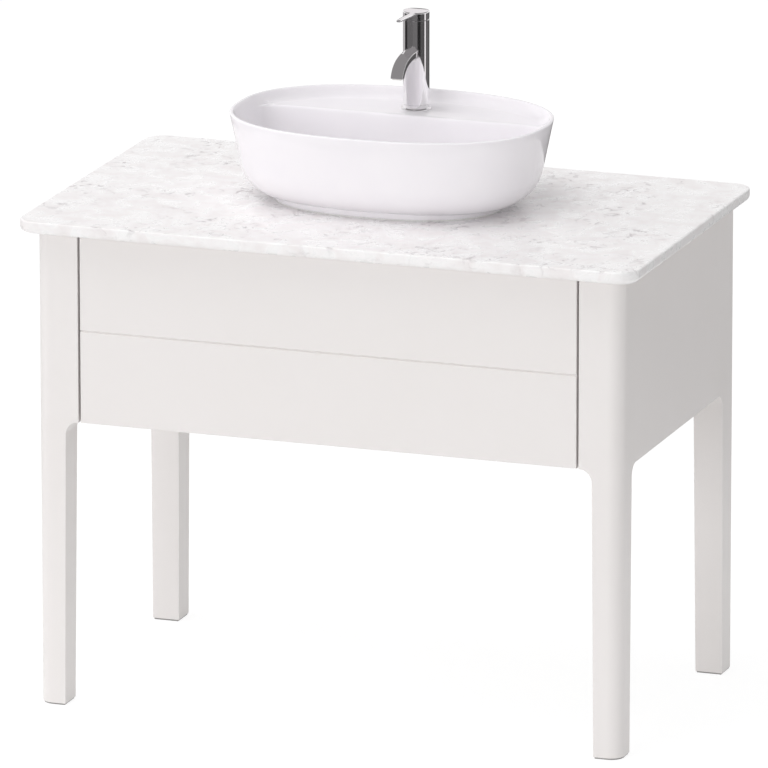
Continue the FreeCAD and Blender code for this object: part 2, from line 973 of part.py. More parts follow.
def runner_members():
    z0 = drawer_z + runner_lift
    z1 = z0 + runner_height
    step = runner_gauge + runner_gap
    case_member = channel(case_inner_x, case_inner_x - runner_lip, z0, z1)
    middle_web = case_inner_x - step
    middle = channel(middle_web, middle_web - runner_lip, z0 + step, z1 - step)
    drawer_member = channel(drawer_half_width, drawer_half_width + runner_lip, z0 + 2 * step, z1 - 2 * step)
    return case_member, middle, drawer_member


# Push latch, on the middle of the front top rail

latch_axis_z = top_rail_z - latch_plate_thickness - latch_block_height / 2


def latch_housing():
    half = latch_block_width / 2
    block_z0 = latch_axis_z - latch_block_height / 2
    block_z1 = top_rail_z - latch_plate_thickness
    block = box(-half, half, case_front_y, case_front_y + latch_block_length, block_z0, block_z1)
    plate = box(
        -latch_plate_width / 2,
        latch_plate_width / 2,
        case_front_y + latch_plate_thickness,
        case_front_y + latch_plate_thickness + latch_plate_length,
        block_z1,
        top_rail_z,
    )
    depth = latch_tip_gap + latch_plunger_length + latch_plunger_travel + latch_fit_gap
    bore = rod(
        latch_plunger_radius + latch_fit_gap,
        (0, case_front_y - overrun, latch_axis_z),
        (0, drawer_front_y + depth, latch_axis_z),
    )
    return block.fuse(plate).removeSplitter().cut(bore)


def latch_plunger():
    start = drawer_front_y + latch_tip_gap
    plunger = rod(
        latch_plunger_radius, (0, start, latch_axis_z), (0, start + latch_plunger_length, latch_axis_z)
    )
    tip = [e for e in plunger.Edges if e.BoundBox.YMax < start + latch_tip_gap]
    return plunger.makeFillet(latch_tip_round, tip)


# Wall brackets


def wall_bracket():
    top = upper_back_rail_z - wall_bracket_drop
    z0 = top - wall_bracket_height
    web = box(
        case_inner_x - wall_bracket_gauge, case_inner_x, rear_y - wall_bracket_lap, wall_y, z0, top
    )
    flange = box(
        case_inner_x - wall_bracket_flange, case_inner_x, wall_y - wall_bracket_gauge, wall_y, z0, top
    )
    x = case_inner_x - wall_bracket_flange / 2
    z = (z0 + top) / 2
    hole = rod(
        wall_bracket_hole_radius,
        (x, wall_y - wall_bracket_gauge - overrun, z),
        (x, wall_y + overrun, z),
    )
    return web.fuse(flange).removeSplitter().cut(hole)


# Tap

tap_body_z = deck_z + tap_base_thickness
tap_body_top = tap_body_z + tap_body_height
cartridge_z = tap_body_top - cartridge_length
pivot_z = tap_body_top + head_gap + pivot_lift
ball_base_z = tap_body_top + ball_base_gap
head_z = tap_body_top + head_gap
head_top_z = head_z + head_height
deck_under_z = deck_z - deck_thickness
inlet_z = deck_z + tap_base_thickness + inlet_rise - inlet_length
clamp_z = deck_under_z - clamp_thickness


def tap_inlet_places():
    return [(x, tap_y + inlet_offset) for x in (-inlet_spacing / 2, inlet_spacing / 2)]


def tap_base():
    disc = upright(tap_base_radius, 0, tap_y, deck_z, tap_body_z)
    disc = disc.makeFillet(tap_base_round, level_edges(disc, tap_body_z))
    z0 = deck_z - overrun
    z1 = tap_body_z + overrun
    holes = [upright(inlet_radius, x, y, z0, z1) for x, y in tap_inlet_places()]
    holes.append(upright(stud_radius, 0, tap_y - stud_offset, z0, z1))
    return cut_all(disc, holes)


def tap_body():
    shell = upright(tap_radius, 0, tap_y, tap_body_z, tap_body_top)
    upper = upright(cartridge_radius + cartridge_gap, 0, tap_y, cartridge_z, tap_body_top + overrun)
    lower = upright(tap_lower_bore, 0, tap_y, tap_body_z - overrun, cartridge_z - tap_web)
    return cut_all(shell, [upper, lower])


def tap_cartridge():
    barrel = upright(cartridge_radius, 0, tap_y, cartridge_z, tap_body_top - head_gap)
    stem = upright(cartridge_stem_radius, 0, tap_y, cartridge_z, ball_base_z + cartridge_stem_length)
    return barrel.fuse(stem).removeSplitter()


def spout_curve(length, drop):
    # the spout's bend seen from the side, a quarter of a superellipse from its level start to its steep end
    power = 2 / spout_curve_power
    base_z = tap_body_z + spout_top_height - spout_curve_drop
    points = []
    for k in range(arc_sections + 1):
        turn = math.pi / 2 * k / arc_sections
        y = tap_y - spout_curve_start - length * math.sin(turn) ** power
        points.append(Vector(-spout_width / 2, y, base_z + drop * abs(math.cos(turn)) ** power))
    points[-1].z = base_z
    curve = Part.BSplineCurve()
    curve.interpolate(points)
    return curve.toShape(), points[0], points[-1]


def spout_curve_reach(length, drop):
    # how far from the tap's axis that bend is at the height of the spout's tip
    rise = spout_tip_height - spout_top_height + spout_curve_drop
    share = (1 - (rise / drop) ** spout_curve_power) ** (1 / spout_curve_power)
    return spout_curve_start + length * share


spout_curve_length = spout_reach - spout_curve_start
spout_under_length = spout_curve_length - spout_tip_thickness
spout_under_drop = spout_curve_drop - spout_root_thickness


def tap_spout():
    # a flat bar that leaves the body level and bends down to its outlet
    top = tap_body_z + spout_top_height
    tip = tap_body_z + spout_tip_height
    front = tap_y - spout_reach
    under = top - spout_root_thickness
    outer, outer_start, outer_end = spout_curve(spout_curve_length, spout_curve_drop)
    inner, inner_start, inner_end = spout_curve(spout_under_length, spout_under_drop)
    root_top = Vector(outer_start.x, tap_y, top)
    root_under = Vector(outer_start.x, tap_y, under)
    outline = [
        Part.makeLine(root_top, outer_start),
        outer,
        Part.makeLine(outer_end, inner_end),
        inner,
        Part.makeLine(inner_start, root_under),
        Part.makeLine(root_under, root_top),
    ]
    bar = prism(outline, Vector(spout_width, 0, 0))
    long_edges = []
    for edge in bar.Edges:
        bounds = edge.BoundBox
        bent = bounds.YMin < front + match_tolerance and bounds.ZMax > top - match_tolerance
        if bounds.XLength < match_tolerance and bent:
            long_edges.append(edge)
    bar = bar.makeFillet(spout_edge_round, long_edges)
    below_tip = box(-spout_width, spout_width, front - overrun, tap_y, outer_end.z - overrun, tip)
    bar = bar.cut(below_tip)
    return bar.cut(upright(tap_radius, 0, tap_y, under - overrun, top + overrun))


def tap_aerator():
    tip = tap_body_z + spout_tip_height
    outer = spout_curve_reach(spout_curve_length, spout_curve_drop)
    inner = spout_curve_reach(spout_under_length, spout_under_drop)
    middle = tap_y - (outer + inner) / 2
    return box(
        -aerator_width / 2,
        aerator_width / 2,
        middle - aerator_depth / 2,
        middle + aerator_depth / 2,
        tip - aerator_height,
        tip,
    )


def lever_carrier():
    # the ball that turns on the cartridge, with the cross pin that the lever tilts on
    ball = Part.makeSphere(ball_radius, Vector(0, tap_y, pivot_z))
    keep = upright(ball_radius + overrun, 0, tap_y, ball_base_z, pivot_z + ball_top_height)
    pin = rod(pivot_pin_radius, (-pivot_pin_reach, tap_y, pivot_z), (pivot_pin_reach, tap_y, pivot_z))
    socket = upright(
        cartridge_stem_radius + spindle_fit_gap,
        0,
        tap_y,
        ball_base_z - overrun,
        ball_base_z + cartridge_stem_length + ball_base_gap,
    )
    return ball.common(keep).fuse(pin).removeSplitter().cut(socket)


def tap_lever():
    # the tap's head with its lever; the rear of its underside is cut away so that it can tilt
    head = upright(tap_radius, 0, tap_y, head_z, head_top_z)
    head = head.makeFillet(head_edge_round, level_edges(head, head_top_z))
    top = head_top_z - lever_top_drop
    tip_y = tap_y - lever_reach
    blade = prism(
        polygon(
            [
                (-lever_root_width / 2, tap_y, top),
                (-lever_tip_width / 2, tip_y, top + lever_tip_rise),
                (lever_tip_width / 2, tip_y, top + lever_tip_rise),
                (lever_root_width / 2, tap_y, top),
            ]
        ),
        Vector(0, 0, -lever_thickness),
    )
    half_tip = lever_tip_width / 2
    tips = upright_edges(blade, -half_tip, tip_y) + upright_edges(blade, half_tip, tip_y)
    blade = blade.makeFillet(lever_tip_radius, tips)
    whole = head.fuse(blade).removeSplitter()
    ball = Part.makeSphere(ball_radius + ball_gap, Vector(0, tap_y, pivot_z))
    keep = upright(tap_radius, 0, tap_y, head_z - overrun, pivot_z + pocket_top_height)
    mouth_radius = math.sqrt((ball_radius + ball_gap) ** 2 - (pivot_z - head_z) ** 2)
    mouth = upright(mouth_radius, 0, tap_y, head_z - overrun, pivot_z)
    pin_radius = pivot_pin_radius + spindle_fit_gap
    pin_reach = pivot_pin_reach + pivot_pin_gap
    pin_bore = rod(pin_radius, (-pin_reach, tap_y, pivot_z), (pin_reach, tap_y, pivot_z))
    rear = tap_y + tap_radius + overrun
    rise = (rear - tap_y) * math.tan(math.radians(lift_angle + relief_angle))
    relief = prism(
        polygon(
            [
                (-tap_base_radius, tap_y, head_z),
                (-tap_base_radius, rear, head_z + rise),
                (-tap_base_radius, rear, head_z - overrun),
                (-tap_base_radius, tap_y, head_z - overrun),
            ]
        ),
        Vector(2 * tap_base_radius, 0, 0),
    )
    return cut_all(whole, [ball.common(keep), mouth, pin_bore, relief])


def tap_inlets():
    z1 = inlet_z + inlet_length
    places = tap_inlet_places()
    return Part.makeCompound([pipe(inlet_radius, inlet_bore, x, y, inlet_z, z1) for x, y in places])


def tap_stud():
    z1 = tap_body_z + stud_rise
    return upright(stud_radius, 0, tap_y - stud_offset, z1 - stud_length, z1)


def tap_clamp():
    # a horseshoe plate under the deck, open at the rear where the inlets pass
    plate = upright(clamp_radius, 0, tap_y, clamp_z, deck_under_z)
    slot = box(
        -clamp_slot_half_width,
        clamp_slot_half_width,
        tap_y - clamp_slot_start,
        tap_y + clamp_radius + overrun,
        clamp_z - overrun,
        deck_under_z + overrun,
    )
    stud = upright(stud_radius, 0, tap_y - stud_offset, clamp_z - overrun, deck_under_z + overrun)
    return cut_all(plate, [slot, stud])


def tap_nut():
    y = tap_y - stud_offset
    nut = nut_blank(nut_radius, 0, y, clamp_z - nut_height, clamp_z)
    return nut.cut(upright(stud_radius, 0, y, clamp_z - nut_height - overrun, clamp_z + overrun))


# All the sub-parts, by name


def pair(name, right, parts):
    parts[name + "_left"] = mirrored(right)
    parts[name + "_right"] = right


def case_parts(parts):
    pins = dowels()
    boards = board_screws()
    posts = post_screws()
    front_post = front_right_post(front_corner_radius)
    rear_post = front_to_rear(front_right_post(rear_corner_radius))
    front_post = cut_all(front_post, [foot_hole()] + pins + posts)
    rear_post = cut_all(rear_post, [front_to_rear(foot_hole())] + pins + posts)
    pair("leg_front", front_post, parts)
    pair("leg_rear", rear_post, parts)
    pair("side_panel", cut_all(side_panel(), pins), parts)
    pair("inner_side", cut_all(inner_side(), boards + posts), parts)
    both_sides = boards + [mirrored(one) for one in boards]
    parts["bottom_panel"] = cut_all(bottom_panel(), both_sides)
    parts["top_rail_front"] = cut_all(top_rail_front(), both_sides)
    parts["top_rail_rear"] = cut_all(top_rail_rear(), both_sides)
    parts["back_rail_upper"] = cut_all(back_rail_upper(), both_sides)
    parts["back_rail_lower"] = cut_all(back_rail_lower(), both_sides)
    parts["dowels"] = Part.makeCompound(pins + [mirrored(pin) for pin in pins])
    screws = boards + posts
    parts["case_screws"] = Part.makeCompound(screws + [mirrored(one) for one in screws])
    parts["foot_inserts"] = Part.makeCompound(four_corners(foot_insert()))
    pair("glide_front", glide(front_corner_radius), parts)
    pair("glide_rear", front_to_rear(glide(rear_corner_radius)), parts)
    bracket = wall_bracket()
    parts["wall_brackets"] = Part.makeCompound([mirrored(bracket), bracket])


def top_parts(parts):
    parts["worktop"] = worktop()
    parts["basin"] = basin()
    parts["basin_seal"] = basin_seal()
    parts["waste_body"] = waste_body()
    parts["waste_cover"] = waste_cover()
    parts["waste_gasket"] = waste_gasket()
    parts["waste_nut"] = waste_nut()
    parts["trap_tailpiece"] = trap_tailpiece()
    parts["trap_body"] = trap_body()
    parts["trap_cup"] = trap_cup()
    parts["trap_nuts"] = trap_nuts()
    parts["trap_outlet_pipe"] = trap_outlet_pipe()


def tap_parts(parts):
    parts["tap_base"] = tap_base()
    parts["tap_body"] = tap_body()
    parts["tap_spout"] = tap_spout()
    parts["tap_aerator"] = tap_aerator()
    parts["tap_cartridge"] = tap_cartridge()
    parts["tap_lever_carrier"] = lever_carrier()
    parts["tap_lever"] = tap_lever()
    parts["tap_inlets"] = tap_inlets()
    parts["tap_stud"] = tap_stud()
    parts["tap_clamp"] = tap_clamp()
    parts["tap_nut"] = tap_nut()


def drawer_parts(parts):
    parts["drawer_front"] = drawer_front()
    pair("drawer_side", drawer_side(), parts)
    parts["drawer_bottom"] = drawer_bottom()
    pair("drawer_back", drawer_back(), parts)
    parts["trap_guard"] = trap_guard()
    parts["front_brackets"] = front_brackets()
    case_member, middle, drawer_member = runner_members()
    pair("runner_case", case_member, parts)
    pair("runner_middle", middle, parts)
    pair("runner_drawer", drawer_member, parts)
    parts["latch_housing"] = latch_housing()
    parts["latch_plunger"] = latch_plunger()


def main():
    parts = {}
    case_parts(parts)
    top_parts(parts)
    tap_parts(parts)
    drawer_parts(parts)
    os.makedirs("parts", exist_ok=True)
    for name, shape in parts.items():
        shape.exportStep("parts/" + name + ".step")
        print(name, "solids", len(shape.Solids), "valid", shape.isValid(), "volume", round(shape.Volume))


main()
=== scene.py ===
# %% [markdown]
# Vanity unit with a countertop basin
# The real object is a washbasin stand: four corner posts that run down as legs, two side panels, one wide
# pull-out with a shallow groove, a quartz worktop, an oval ceramic basin and a chrome single-lever tap.
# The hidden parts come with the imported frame. This lesson dresses the visible ones. A shape that the frame
# already has right is copied and gets the small rounded edges of a real board, and a shape that needs a
# finer surface, such as the basin, is modelled afresh.

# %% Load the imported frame
import bpy
import json
import math
from mathutils import Matrix, Vector


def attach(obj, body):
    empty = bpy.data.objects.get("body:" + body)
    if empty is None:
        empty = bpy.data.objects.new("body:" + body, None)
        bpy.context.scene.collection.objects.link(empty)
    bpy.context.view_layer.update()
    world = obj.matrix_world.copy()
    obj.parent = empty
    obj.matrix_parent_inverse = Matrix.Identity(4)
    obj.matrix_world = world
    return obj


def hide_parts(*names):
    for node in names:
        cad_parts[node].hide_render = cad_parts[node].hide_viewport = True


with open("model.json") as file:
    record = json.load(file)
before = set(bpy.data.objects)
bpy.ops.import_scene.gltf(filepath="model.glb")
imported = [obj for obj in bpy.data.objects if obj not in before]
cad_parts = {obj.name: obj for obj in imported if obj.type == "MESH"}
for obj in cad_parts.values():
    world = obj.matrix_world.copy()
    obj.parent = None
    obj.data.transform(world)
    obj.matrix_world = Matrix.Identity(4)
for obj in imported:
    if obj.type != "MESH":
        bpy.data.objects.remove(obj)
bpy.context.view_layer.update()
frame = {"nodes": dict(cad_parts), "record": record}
print("nodes in the frame:", len(frame["nodes"]))

# %% Plain helpers
MM = 0.001
BODY_OF = {
    node: body
    for body, members in frame["record"]["behaviour"]["bodies"].items()
    for node in members
}
SLOT_OF = {name: obj.material_slots[0].material.name.split(".")[0] for name, obj in frame["nodes"].items()}


def linear(hex_colour):
    values = [int(hex_colour[k:k + 2], 16) / 255 for k in (1, 3, 5)]
    return [v / 12.92 if v <= 0.04045 else ((v + 0.055) / 1.055) ** 2.4 for v in values] + [1.0]


def add(tree, kind, inputs, **settings):
    node = tree.nodes.new(kind)
    for name, value in settings.items():
        setattr(node, name, value)
    for name, value in inputs.items():
        if isinstance(value, bpy.types.NodeSocket):
            tree.links.new(value, node.inputs[name])
        else:
            node.inputs[name].default_value = value
    return node


def seen_directly(tree):
    # 1 for rays from the camera, from a reflection or through glass, 0 for the light that falls on things
    ray = add(tree, "ShaderNodeLightPath", {})
    seen = add(tree, "ShaderNodeMath", {0: ray.outputs["Is Camera Ray"], 1: ray.outputs["Is Glossy Ray"]},
               operation="MAXIMUM")
    seen = add(tree, "ShaderNodeMath", {0: seen.outputs[0], 1: ray.outputs["Is Transmission Ray"]},
               operation="MAXIMUM")
    return seen.outputs[0]


def only(*objects):
    bpy.ops.object.select_all(action="DESELECT")
    for obj in objects:
        obj.select_set(True)
    bpy.context.view_layer.objects.active = objects[0]


def linked(name, mesh):
    obj = bpy.data.objects.new(name, mesh)
    bpy.context.scene.collection.objects.link(obj)
    return obj


def row_faces(count, wide, ends):
    # faces between rows of points, each row a closed line: its ends are "capped", "joined" or "open"
    faces = []
    if ends == "capped":
        faces = [tuple(range(wide)), tuple(reversed(range((count - 1) * wide, count * wide)))]
    for k in range(count if ends == "joined" else count - 1):
        after = (k + 1) % count
        for n in range(wide):
            m = (n + 1) % wide
            faces.append((k * wide + n, k * wide + m, after * wide + m, after * wide + n))
    return faces


def solid_from_rows(name, rows, ends):
    mesh = bpy.data.meshes.new(name)
    points = [point for row in rows for point in row]
    mesh.from_pydata(points, [], row_faces(len(rows), len(rows[0]), ends))
    obj = linked(name, mesh)
    only(obj)
    bpy.ops.object.mode_set(mode="EDIT")
    bpy.ops.mesh.select_all(action="SELECT")
    bpy.ops.mesh.normals_make_consistent(inside=False)
    bpy.ops.object.mode_set(mode="OBJECT")
    return obj


print("bodies:", sorted(set(BODY_OF.values())))

# %% [markdown]
# Camera
# A long lens far away keeps upright edges almost parallel, as in a catalogue picture. The camera could be
# placed by eye, but a place worked out from the object's straight edges puts every corner where it belongs.

# %% Camera
CAMERA_PLACE = (5.9135, -16.5611, 5.1438)
CAMERA_YAW = 0.3432
CAMERA_PITCH = 0.2593
CAMERA_ROLL = -0.0008
SENSOR_MM = 36
LENS_MM = 558.0
FAR_CLIP = 200
bpy.ops.object.camera_add()
camera = bpy.context.object
camera.name = "catalogue_camera"
camera.matrix_world = (
    Matrix.Translation(CAMERA_PLACE)
    @ Matrix.Rotation(CAMERA_YAW, 4, "Z")
    @ Matrix.Rotation(math.pi / 2 - CAMERA_PITCH, 4, "X")
    @ Matrix.Rotation(CAMERA_ROLL, 4, "Z")
)
camera.data.sensor_width = SENSOR_MM
camera.data.lens = LENS_MM
camera.data.clip_end = FAR_CLIP
bpy.context.scene.camera = camera
bpy.context.scene.view_settings.view_transform = "Standard"
print("camera lens in mm:", camera.data.lens)

# %% [markdown]
# Studio
# The object stands on a white floor in soft, even light. The sky gives every side a base level, stronger at
# the horizon than overhead, so the faces under an overhang stay bright. A wide soft box in front lifts the
# front, one overhead lifts the worktop, and a weaker one at the left gives the basin its shaded side. The
# floor and the sky are plain white to the camera and in reflections, and the floor still takes a faint
# shadow of the object. More light could whiten the background too, but it would bleach the object with it.

# %% Sky
HORIZON_LEVEL = 0.94
ZENITH_LEVEL = 0.35
world = bpy.data.worlds.new("studio_sky")
world.use_nodes = True
sky = world.node_tree
sky.nodes.clear()
direction = add(sky, "ShaderNodeTexCoord", {})
height = add(sky, "ShaderNodeSeparateXYZ", {0: direction.outputs["Generated"]})
level = add(sky, "ShaderNodeMapRange", {"Value": height.outputs[2], "To Min": HORIZON_LEVEL,
                                        "To Max": ZENITH_LEVEL})
soft = add(sky, "ShaderNodeBackground", {"Color": (1, 1, 1, 1), "Strength": level.outputs[0]})
white = add(sky, "ShaderNodeBackground", {"Color": (1, 1, 1, 1), "Strength": 1.0})
mixed = add(sky, "ShaderNodeMixShader", {0: seen_directly(sky), 1: soft.outputs[0], 2: white.outputs[0]})
add(sky, "ShaderNodeOutputWorld", {"Surface": mixed.outputs[0]})
bpy.context.scene.world = world
print("sky level at the horizon and overhead:", HORIZON_LEVEL, ZENITH_LEVEL)

# %% Floor
FLOOR_SIZE = 80
FLOOR_GREY = (0.9, 0.9, 0.9, 1)
# what the camera sees: a glow that is almost white, and a weak matt share that takes the shadow
SHADOW_GREY = (0.20, 0.20, 0.20, 1)
FLOOR_GLOW = 0.87
bpy.ops.mesh.primitive_plane_add(size=FLOOR_SIZE)
floor = bpy.context.object
floor.name = "studio_floor"
paint = bpy.data.materials.new("studio floor paint")
paint.use_nodes = True
tree = paint.node_tree
tree.nodes.clear()
matt = add(tree, "ShaderNodeBsdfDiffuse", {"Color": FLOOR_GREY})
shaded = add(tree, "ShaderNodeBsdfDiffuse", {"Color": SHADOW_GREY})
glow = add(tree, "ShaderNodeEmission", {"Color": (1, 1, 1, 1), "Strength": FLOOR_GLOW})
pale = add(tree, "ShaderNodeAddShader", {0: shaded.outputs[0], 1: glow.outputs[0]})
both = add(tree, "ShaderNodeMixShader", {0: seen_directly(tree), 1: matt.outputs[0], 2: pale.outputs[0]})
add(tree, "ShaderNodeOutputMaterial", {"Surface": both.outputs[0]})
floor.data.materials.append(paint)
print("floor side in metres:", FLOOR_SIZE)

# %% Soft boxes
# name, place and target in metres, size of the side in metres, power in watts
SOFT_BOXES = [
    ("front_soft_box", (-3.6, -14.7, 2.4), (0, 0, 0.55), 8.0, 603),
    ("top_soft_box", (-1.3, -1.3, 6.6), (0, 0, 0.7), 4.5, 162),
    ("left_soft_box", (-5.5, -0.5, 4.2), (0, 0, 0.8), 2.5, 48),
]
for name, place, target, size, power in SOFT_BOXES:
    bpy.ops.object.light_add(type="AREA", location=place)
    lamp = bpy.context.object
    lamp.name = name
    lamp.data.shape = "SQUARE"
    lamp.data.size = size
    lamp.data.energy = power
    lamp.rotation_euler = (Vector(target) - Vector(place)).to_track_quat("-Z", "Y").to_euler()
    lamp.visible_glossy = False
print("soft boxes:", len(SOFT_BOXES))

# %% [markdown]
# Reflection cards
# Polished chrome has no colour of its own: what the eye reads as chrome is the dark and light of the room.
# Photographers stand cards round a tap to get its bands. Seen from slightly above, the tap's column mirrors
# what lies low round the unit, so a ring of cards stands there, and a grey canopy hangs over the spout. Two
# flags behind the tap draw the line along the rear of its head and keep the spout's root dark.
# A picture of a room could do the same, but a card's edge can be set to the degree. Only reflections see
# them, so they neither shade the object nor show in the picture.

# %% Reflection cards
TAP_X, TAP_Y = 0.0, 0.135
RING_RADIUS = 1.5
RING_LOW = 0.002
RING_TOP = 0.74
CARD_STEPS = 10
CARD_TINT = (1, 0.965, 0.98, 1)
# degrees to the right of the camera, seen from the tap, and the card's brightness
CARDS = [
    ("card_rear_left", -180, -114, 0.46),
    ("card_left", -114, -84, 0.026),
    ("card_front_left", -84, -30, 0.125),
    ("card_front", -30, 10.6, 0.15),
    ("card_front_right", 10.6, 37.6, 0.022),
    ("card_right", 37.6, 78, 0.085),
    ("card_light_gap", 78, 90, 1.05),
    ("card_rear_right", 90, 128, 0.13),
    ("card_rear", 128, 180, 0.096),
]
TOWARDS_CAMERA = math.degrees(math.atan2(CAMERA_PLACE[1] - TAP_Y, CAMERA_PLACE[0] - TAP_X))


def reflection_only(name, corners, faces, level):
    mesh = bpy.data.meshes.new(name)
    mesh.from_pydata(corners, [], faces)
    card = linked(name, mesh)
    paper = bpy.data.materials.new(name.replace("_", " ") + " paper")
    paper.use_nodes = True
    paper.node_tree.nodes.clear()
    glow = add(paper.node_tree, "ShaderNodeEmission", {"Color": CARD_TINT, "Strength": level})
    add(paper.node_tree, "ShaderNodeOutputMaterial", {"Surface": glow.outputs[0]})
    mesh.materials.append(paper)
    card.visible_camera = False
    card.visible_diffuse = False
    card.visible_shadow = False
    card.visible_transmission = False


for name, first, last, level in CARDS:
    corners = []
    for k in range(CARD_STEPS + 1):
        turn = math.radians(TOWARDS_CAMERA + first + (last - first) * k / CARD_STEPS)
        x = TAP_X + RING_RADIUS * math.cos(turn)
        y = TAP_Y + RING_RADIUS * math.sin(turn)
        corners.append((x, y, RING_LOW))
        corners.append((x, y, RING_TOP))
    faces = [(2 * k, 2 * k + 2, 2 * k + 3, 2 * k + 1) for k in range(CARD_STEPS)]
    reflection_only(name, corners, faces, level)
print("cards in the ring:", len(CARDS))

# %% Canopy over the spout
CANOPY_RADIUS = 3.4
CANOPY_LIFT = math.radians(73)
CANOPY_HALF_ANGLE = math.radians(82)
CANOPY_HEIGHT = 1.0
CANOPY_LEVEL = 0.27
CANOPY_ROWS = 8
CANOPY_SPOKES = 32
facing = math.radians(TOWARDS_CAMERA)
along = Vector((math.cos(facing) * math.cos(CANOPY_LIFT), math.sin(facing) * math.cos(CANOPY_LIFT),
                math.sin(CANOPY_LIFT)))
across = along.cross(Vector((0, 0, 1))).normalized()
upward = across.cross(along)
centre = Vector((TAP_X, TAP_Y, CANOPY_HEIGHT))
corners = []
for row in range(CANOPY_ROWS + 1):
    wide = CANOPY_HALF_ANGLE * row / CANOPY_ROWS
    for k in range(CANOPY_SPOKES):
        turn = 2 * math.pi * k / CANOPY_SPOKES
        side = across * math.cos(turn) + upward * math.sin(turn)
        corners.append(centre + CANOPY_RADIUS * (along * math.cos(wide) + side * math.sin(wide)))
reflection_only("canopy", corners, row_faces(CANOPY_ROWS + 1, CANOPY_SPOKES, "open"), CANOPY_LEVEL)
print("canopy corners:", len(corners))

# %% Two flags behind the tap
# depth, left, right, lowest and highest edge in metres, and the brightness
FLAGS = [
    ("flag_dark", 0.27, -0.105, 0.0, 0.94, 1.055, 0.10),
    ("flag_pale", 1.62, -1.3, 0.3, 1.24, 1.64, 0.84),
]
for name, y, left, right, low, high, level in FLAGS:
    corners = [(left, y, low), (right, y, low), (right, y, high), (left, y, high)]
    reflection_only(name, corners, [(0, 1, 2, 3)], level)
print("flags:", len(FLAGS))

# %% [markdown]
# Finishes
# Each finish starts from what the real material is. One function makes a material from the shader's own
# sockets, and each finish then adds its fine relief or colour change. Patterns use Object coordinates,
# which are metres here, so a pattern of N millimetres has a scale of 1000 / N. A wave texture repeats
# 20 / (2 pi) times per unit, so its scale is that much smaller.

# %% A finish with its own relief and colour change
FINISHES = {}
WAVE_MM = 1000 * 2 * math.pi / 20


def finish(slot, name, colour, roughness, **sockets):
    material = bpy.data.materials.new(name)
    material.use_nodes = True
    shader = material.node_tree.nodes["Principled BSDF"]
    shader.inputs["Base Color"].default_value = linear(colour)
    shader.inputs["Roughness"].default_value = roughness
    for socket, value in sockets.items():
        shader.inputs[socket.replace("_", " ")].default_value = value
    FINISHES[slot] = material
    print("finish:", name)
    return material.node_tree, shader


def place_of(tree, stretch=(1, 1, 1)):
    place = add(tree, "ShaderNodeTexCoord", {})
    return add(tree, "ShaderNodeMapping", {"Vector": place.outputs["Object"], "Scale": stretch}).outputs[0]


def relief(tree, shader, height, depth_mm, strength):
    bump = add(tree, "ShaderNodeBump", {"Height": height, "Distance": depth_mm * MM, "Strength": strength})
    tree.links.new(bump.outputs[0], shader.inputs["Normal"])


def tint(tree, shader, factor, first, second):
    mix = add(tree, "ShaderNodeMix", {0: factor}, data_type="RGBA")
    mix.inputs[6].default_value = linear(first)
    mix.inputs[7].default_value = linear(second)
    tree.links.new(mix.outputs[2], shader.inputs["Base Color"])


def vary(tree, shader, factor, low, high):
    spread = add(tree, "ShaderNodeMapRange", {"Value": factor, "To Min": low, "To Max": high})
    tree.links.new(spread.outputs[0], shader.inputs["Roughness"])


# %% [markdown]
# Matt lacquer
# The legs, the side panels and the front are MDF sprayed with a matt white lacquer. Sprayed paint dries
# with a very faint orange peel, about 1.5 mm from bump to bump, and its sheen changes slightly over a
# panel.

# %% Matt lacquer on MDF
tree, shader = finish("white_lacquer", "matt white lacquer on MDF", "#EBE7E6", 0.44)
where = place_of(tree)
peel = add(tree, "ShaderNodeTexNoise", {"Vector": where, "Scale": 1000 / 1.5, "Detail": 2.0})
cloud = add(tree, "ShaderNodeTexNoise", {"Vector": where, "Scale": 1000 / 160, "Detail": 2.0})
tint(tree, shader, cloud.outputs["Fac"], "#EAE6E4", "#ECE8E7")
vary(tree, shader, cloud.outputs["Fac"], 0.40, 0.48)
relief(tree, shader, peel.outputs["Fac"], 0.012, 0.5)

# %% [markdown]
# Quartz worktop
# Engineered quartz is crushed stone in resin. Pale clouds of two or three centimetres lie under short grey
# strokes, which gather in loose drifts over the slab. The strokes are weaker on the rounded edge, where the
# polish cuts across them.

# %% Quartz with grey strokes
CLOUD_MM = 28
DRIFT_MM = 80
STROKE_MM = 20
EDGE_STRENGTH = 0.3
TOP_STRENGTH = 0.9
tree, shader = finish("quartz_worktop", "pale quartz with grey strokes", "#F4F2F2", 0.30)
where = place_of(tree)
cloud = add(tree, "ShaderNodeTexNoise", {"Vector": where, "Scale": 1000 / CLOUD_MM, "Detail": 3.0,
                                         "Roughness": 0.5, "Distortion": 0.6})
cloud = add(tree, "ShaderNodeMapRange", {"Value": cloud.outputs["Fac"], "From Min": 0.38, "From Max": 0.66})
drift = add(tree, "ShaderNodeTexNoise", {"Vector": where, "Scale": 1000 / DRIFT_MM, "Detail": 2.0})
drift = add(tree, "ShaderNodeMapRange", {"Value": drift.outputs["Fac"], "From Min": 0.44, "From Max": 0.60})
stroke = add(tree, "ShaderNodeTexNoise", {"Vector": where, "Scale": 1000 / STROKE_MM, "Detail": 3.0,
                                          "Roughness": 0.55, "Distortion": 1.5})
stroke = add(tree, "ShaderNodeMapRange", {"Value": stroke.outputs["Fac"], "From Min": 0.55,
                                          "From Max": 0.70})
marks = add(tree, "ShaderNodeMath", {0: drift.outputs[0], 1: stroke.outputs[0]}, operation="MULTIPLY")
normal = add(tree, "ShaderNodeNewGeometry", {}).outputs["Normal"]
facing_up = add(tree, "ShaderNodeSeparateXYZ", {0: normal})
flat = add(tree, "ShaderNodeMapRange", {"Value": facing_up.outputs[2], "To Min": EDGE_STRENGTH,
                                        "To Max": TOP_STRENGTH})
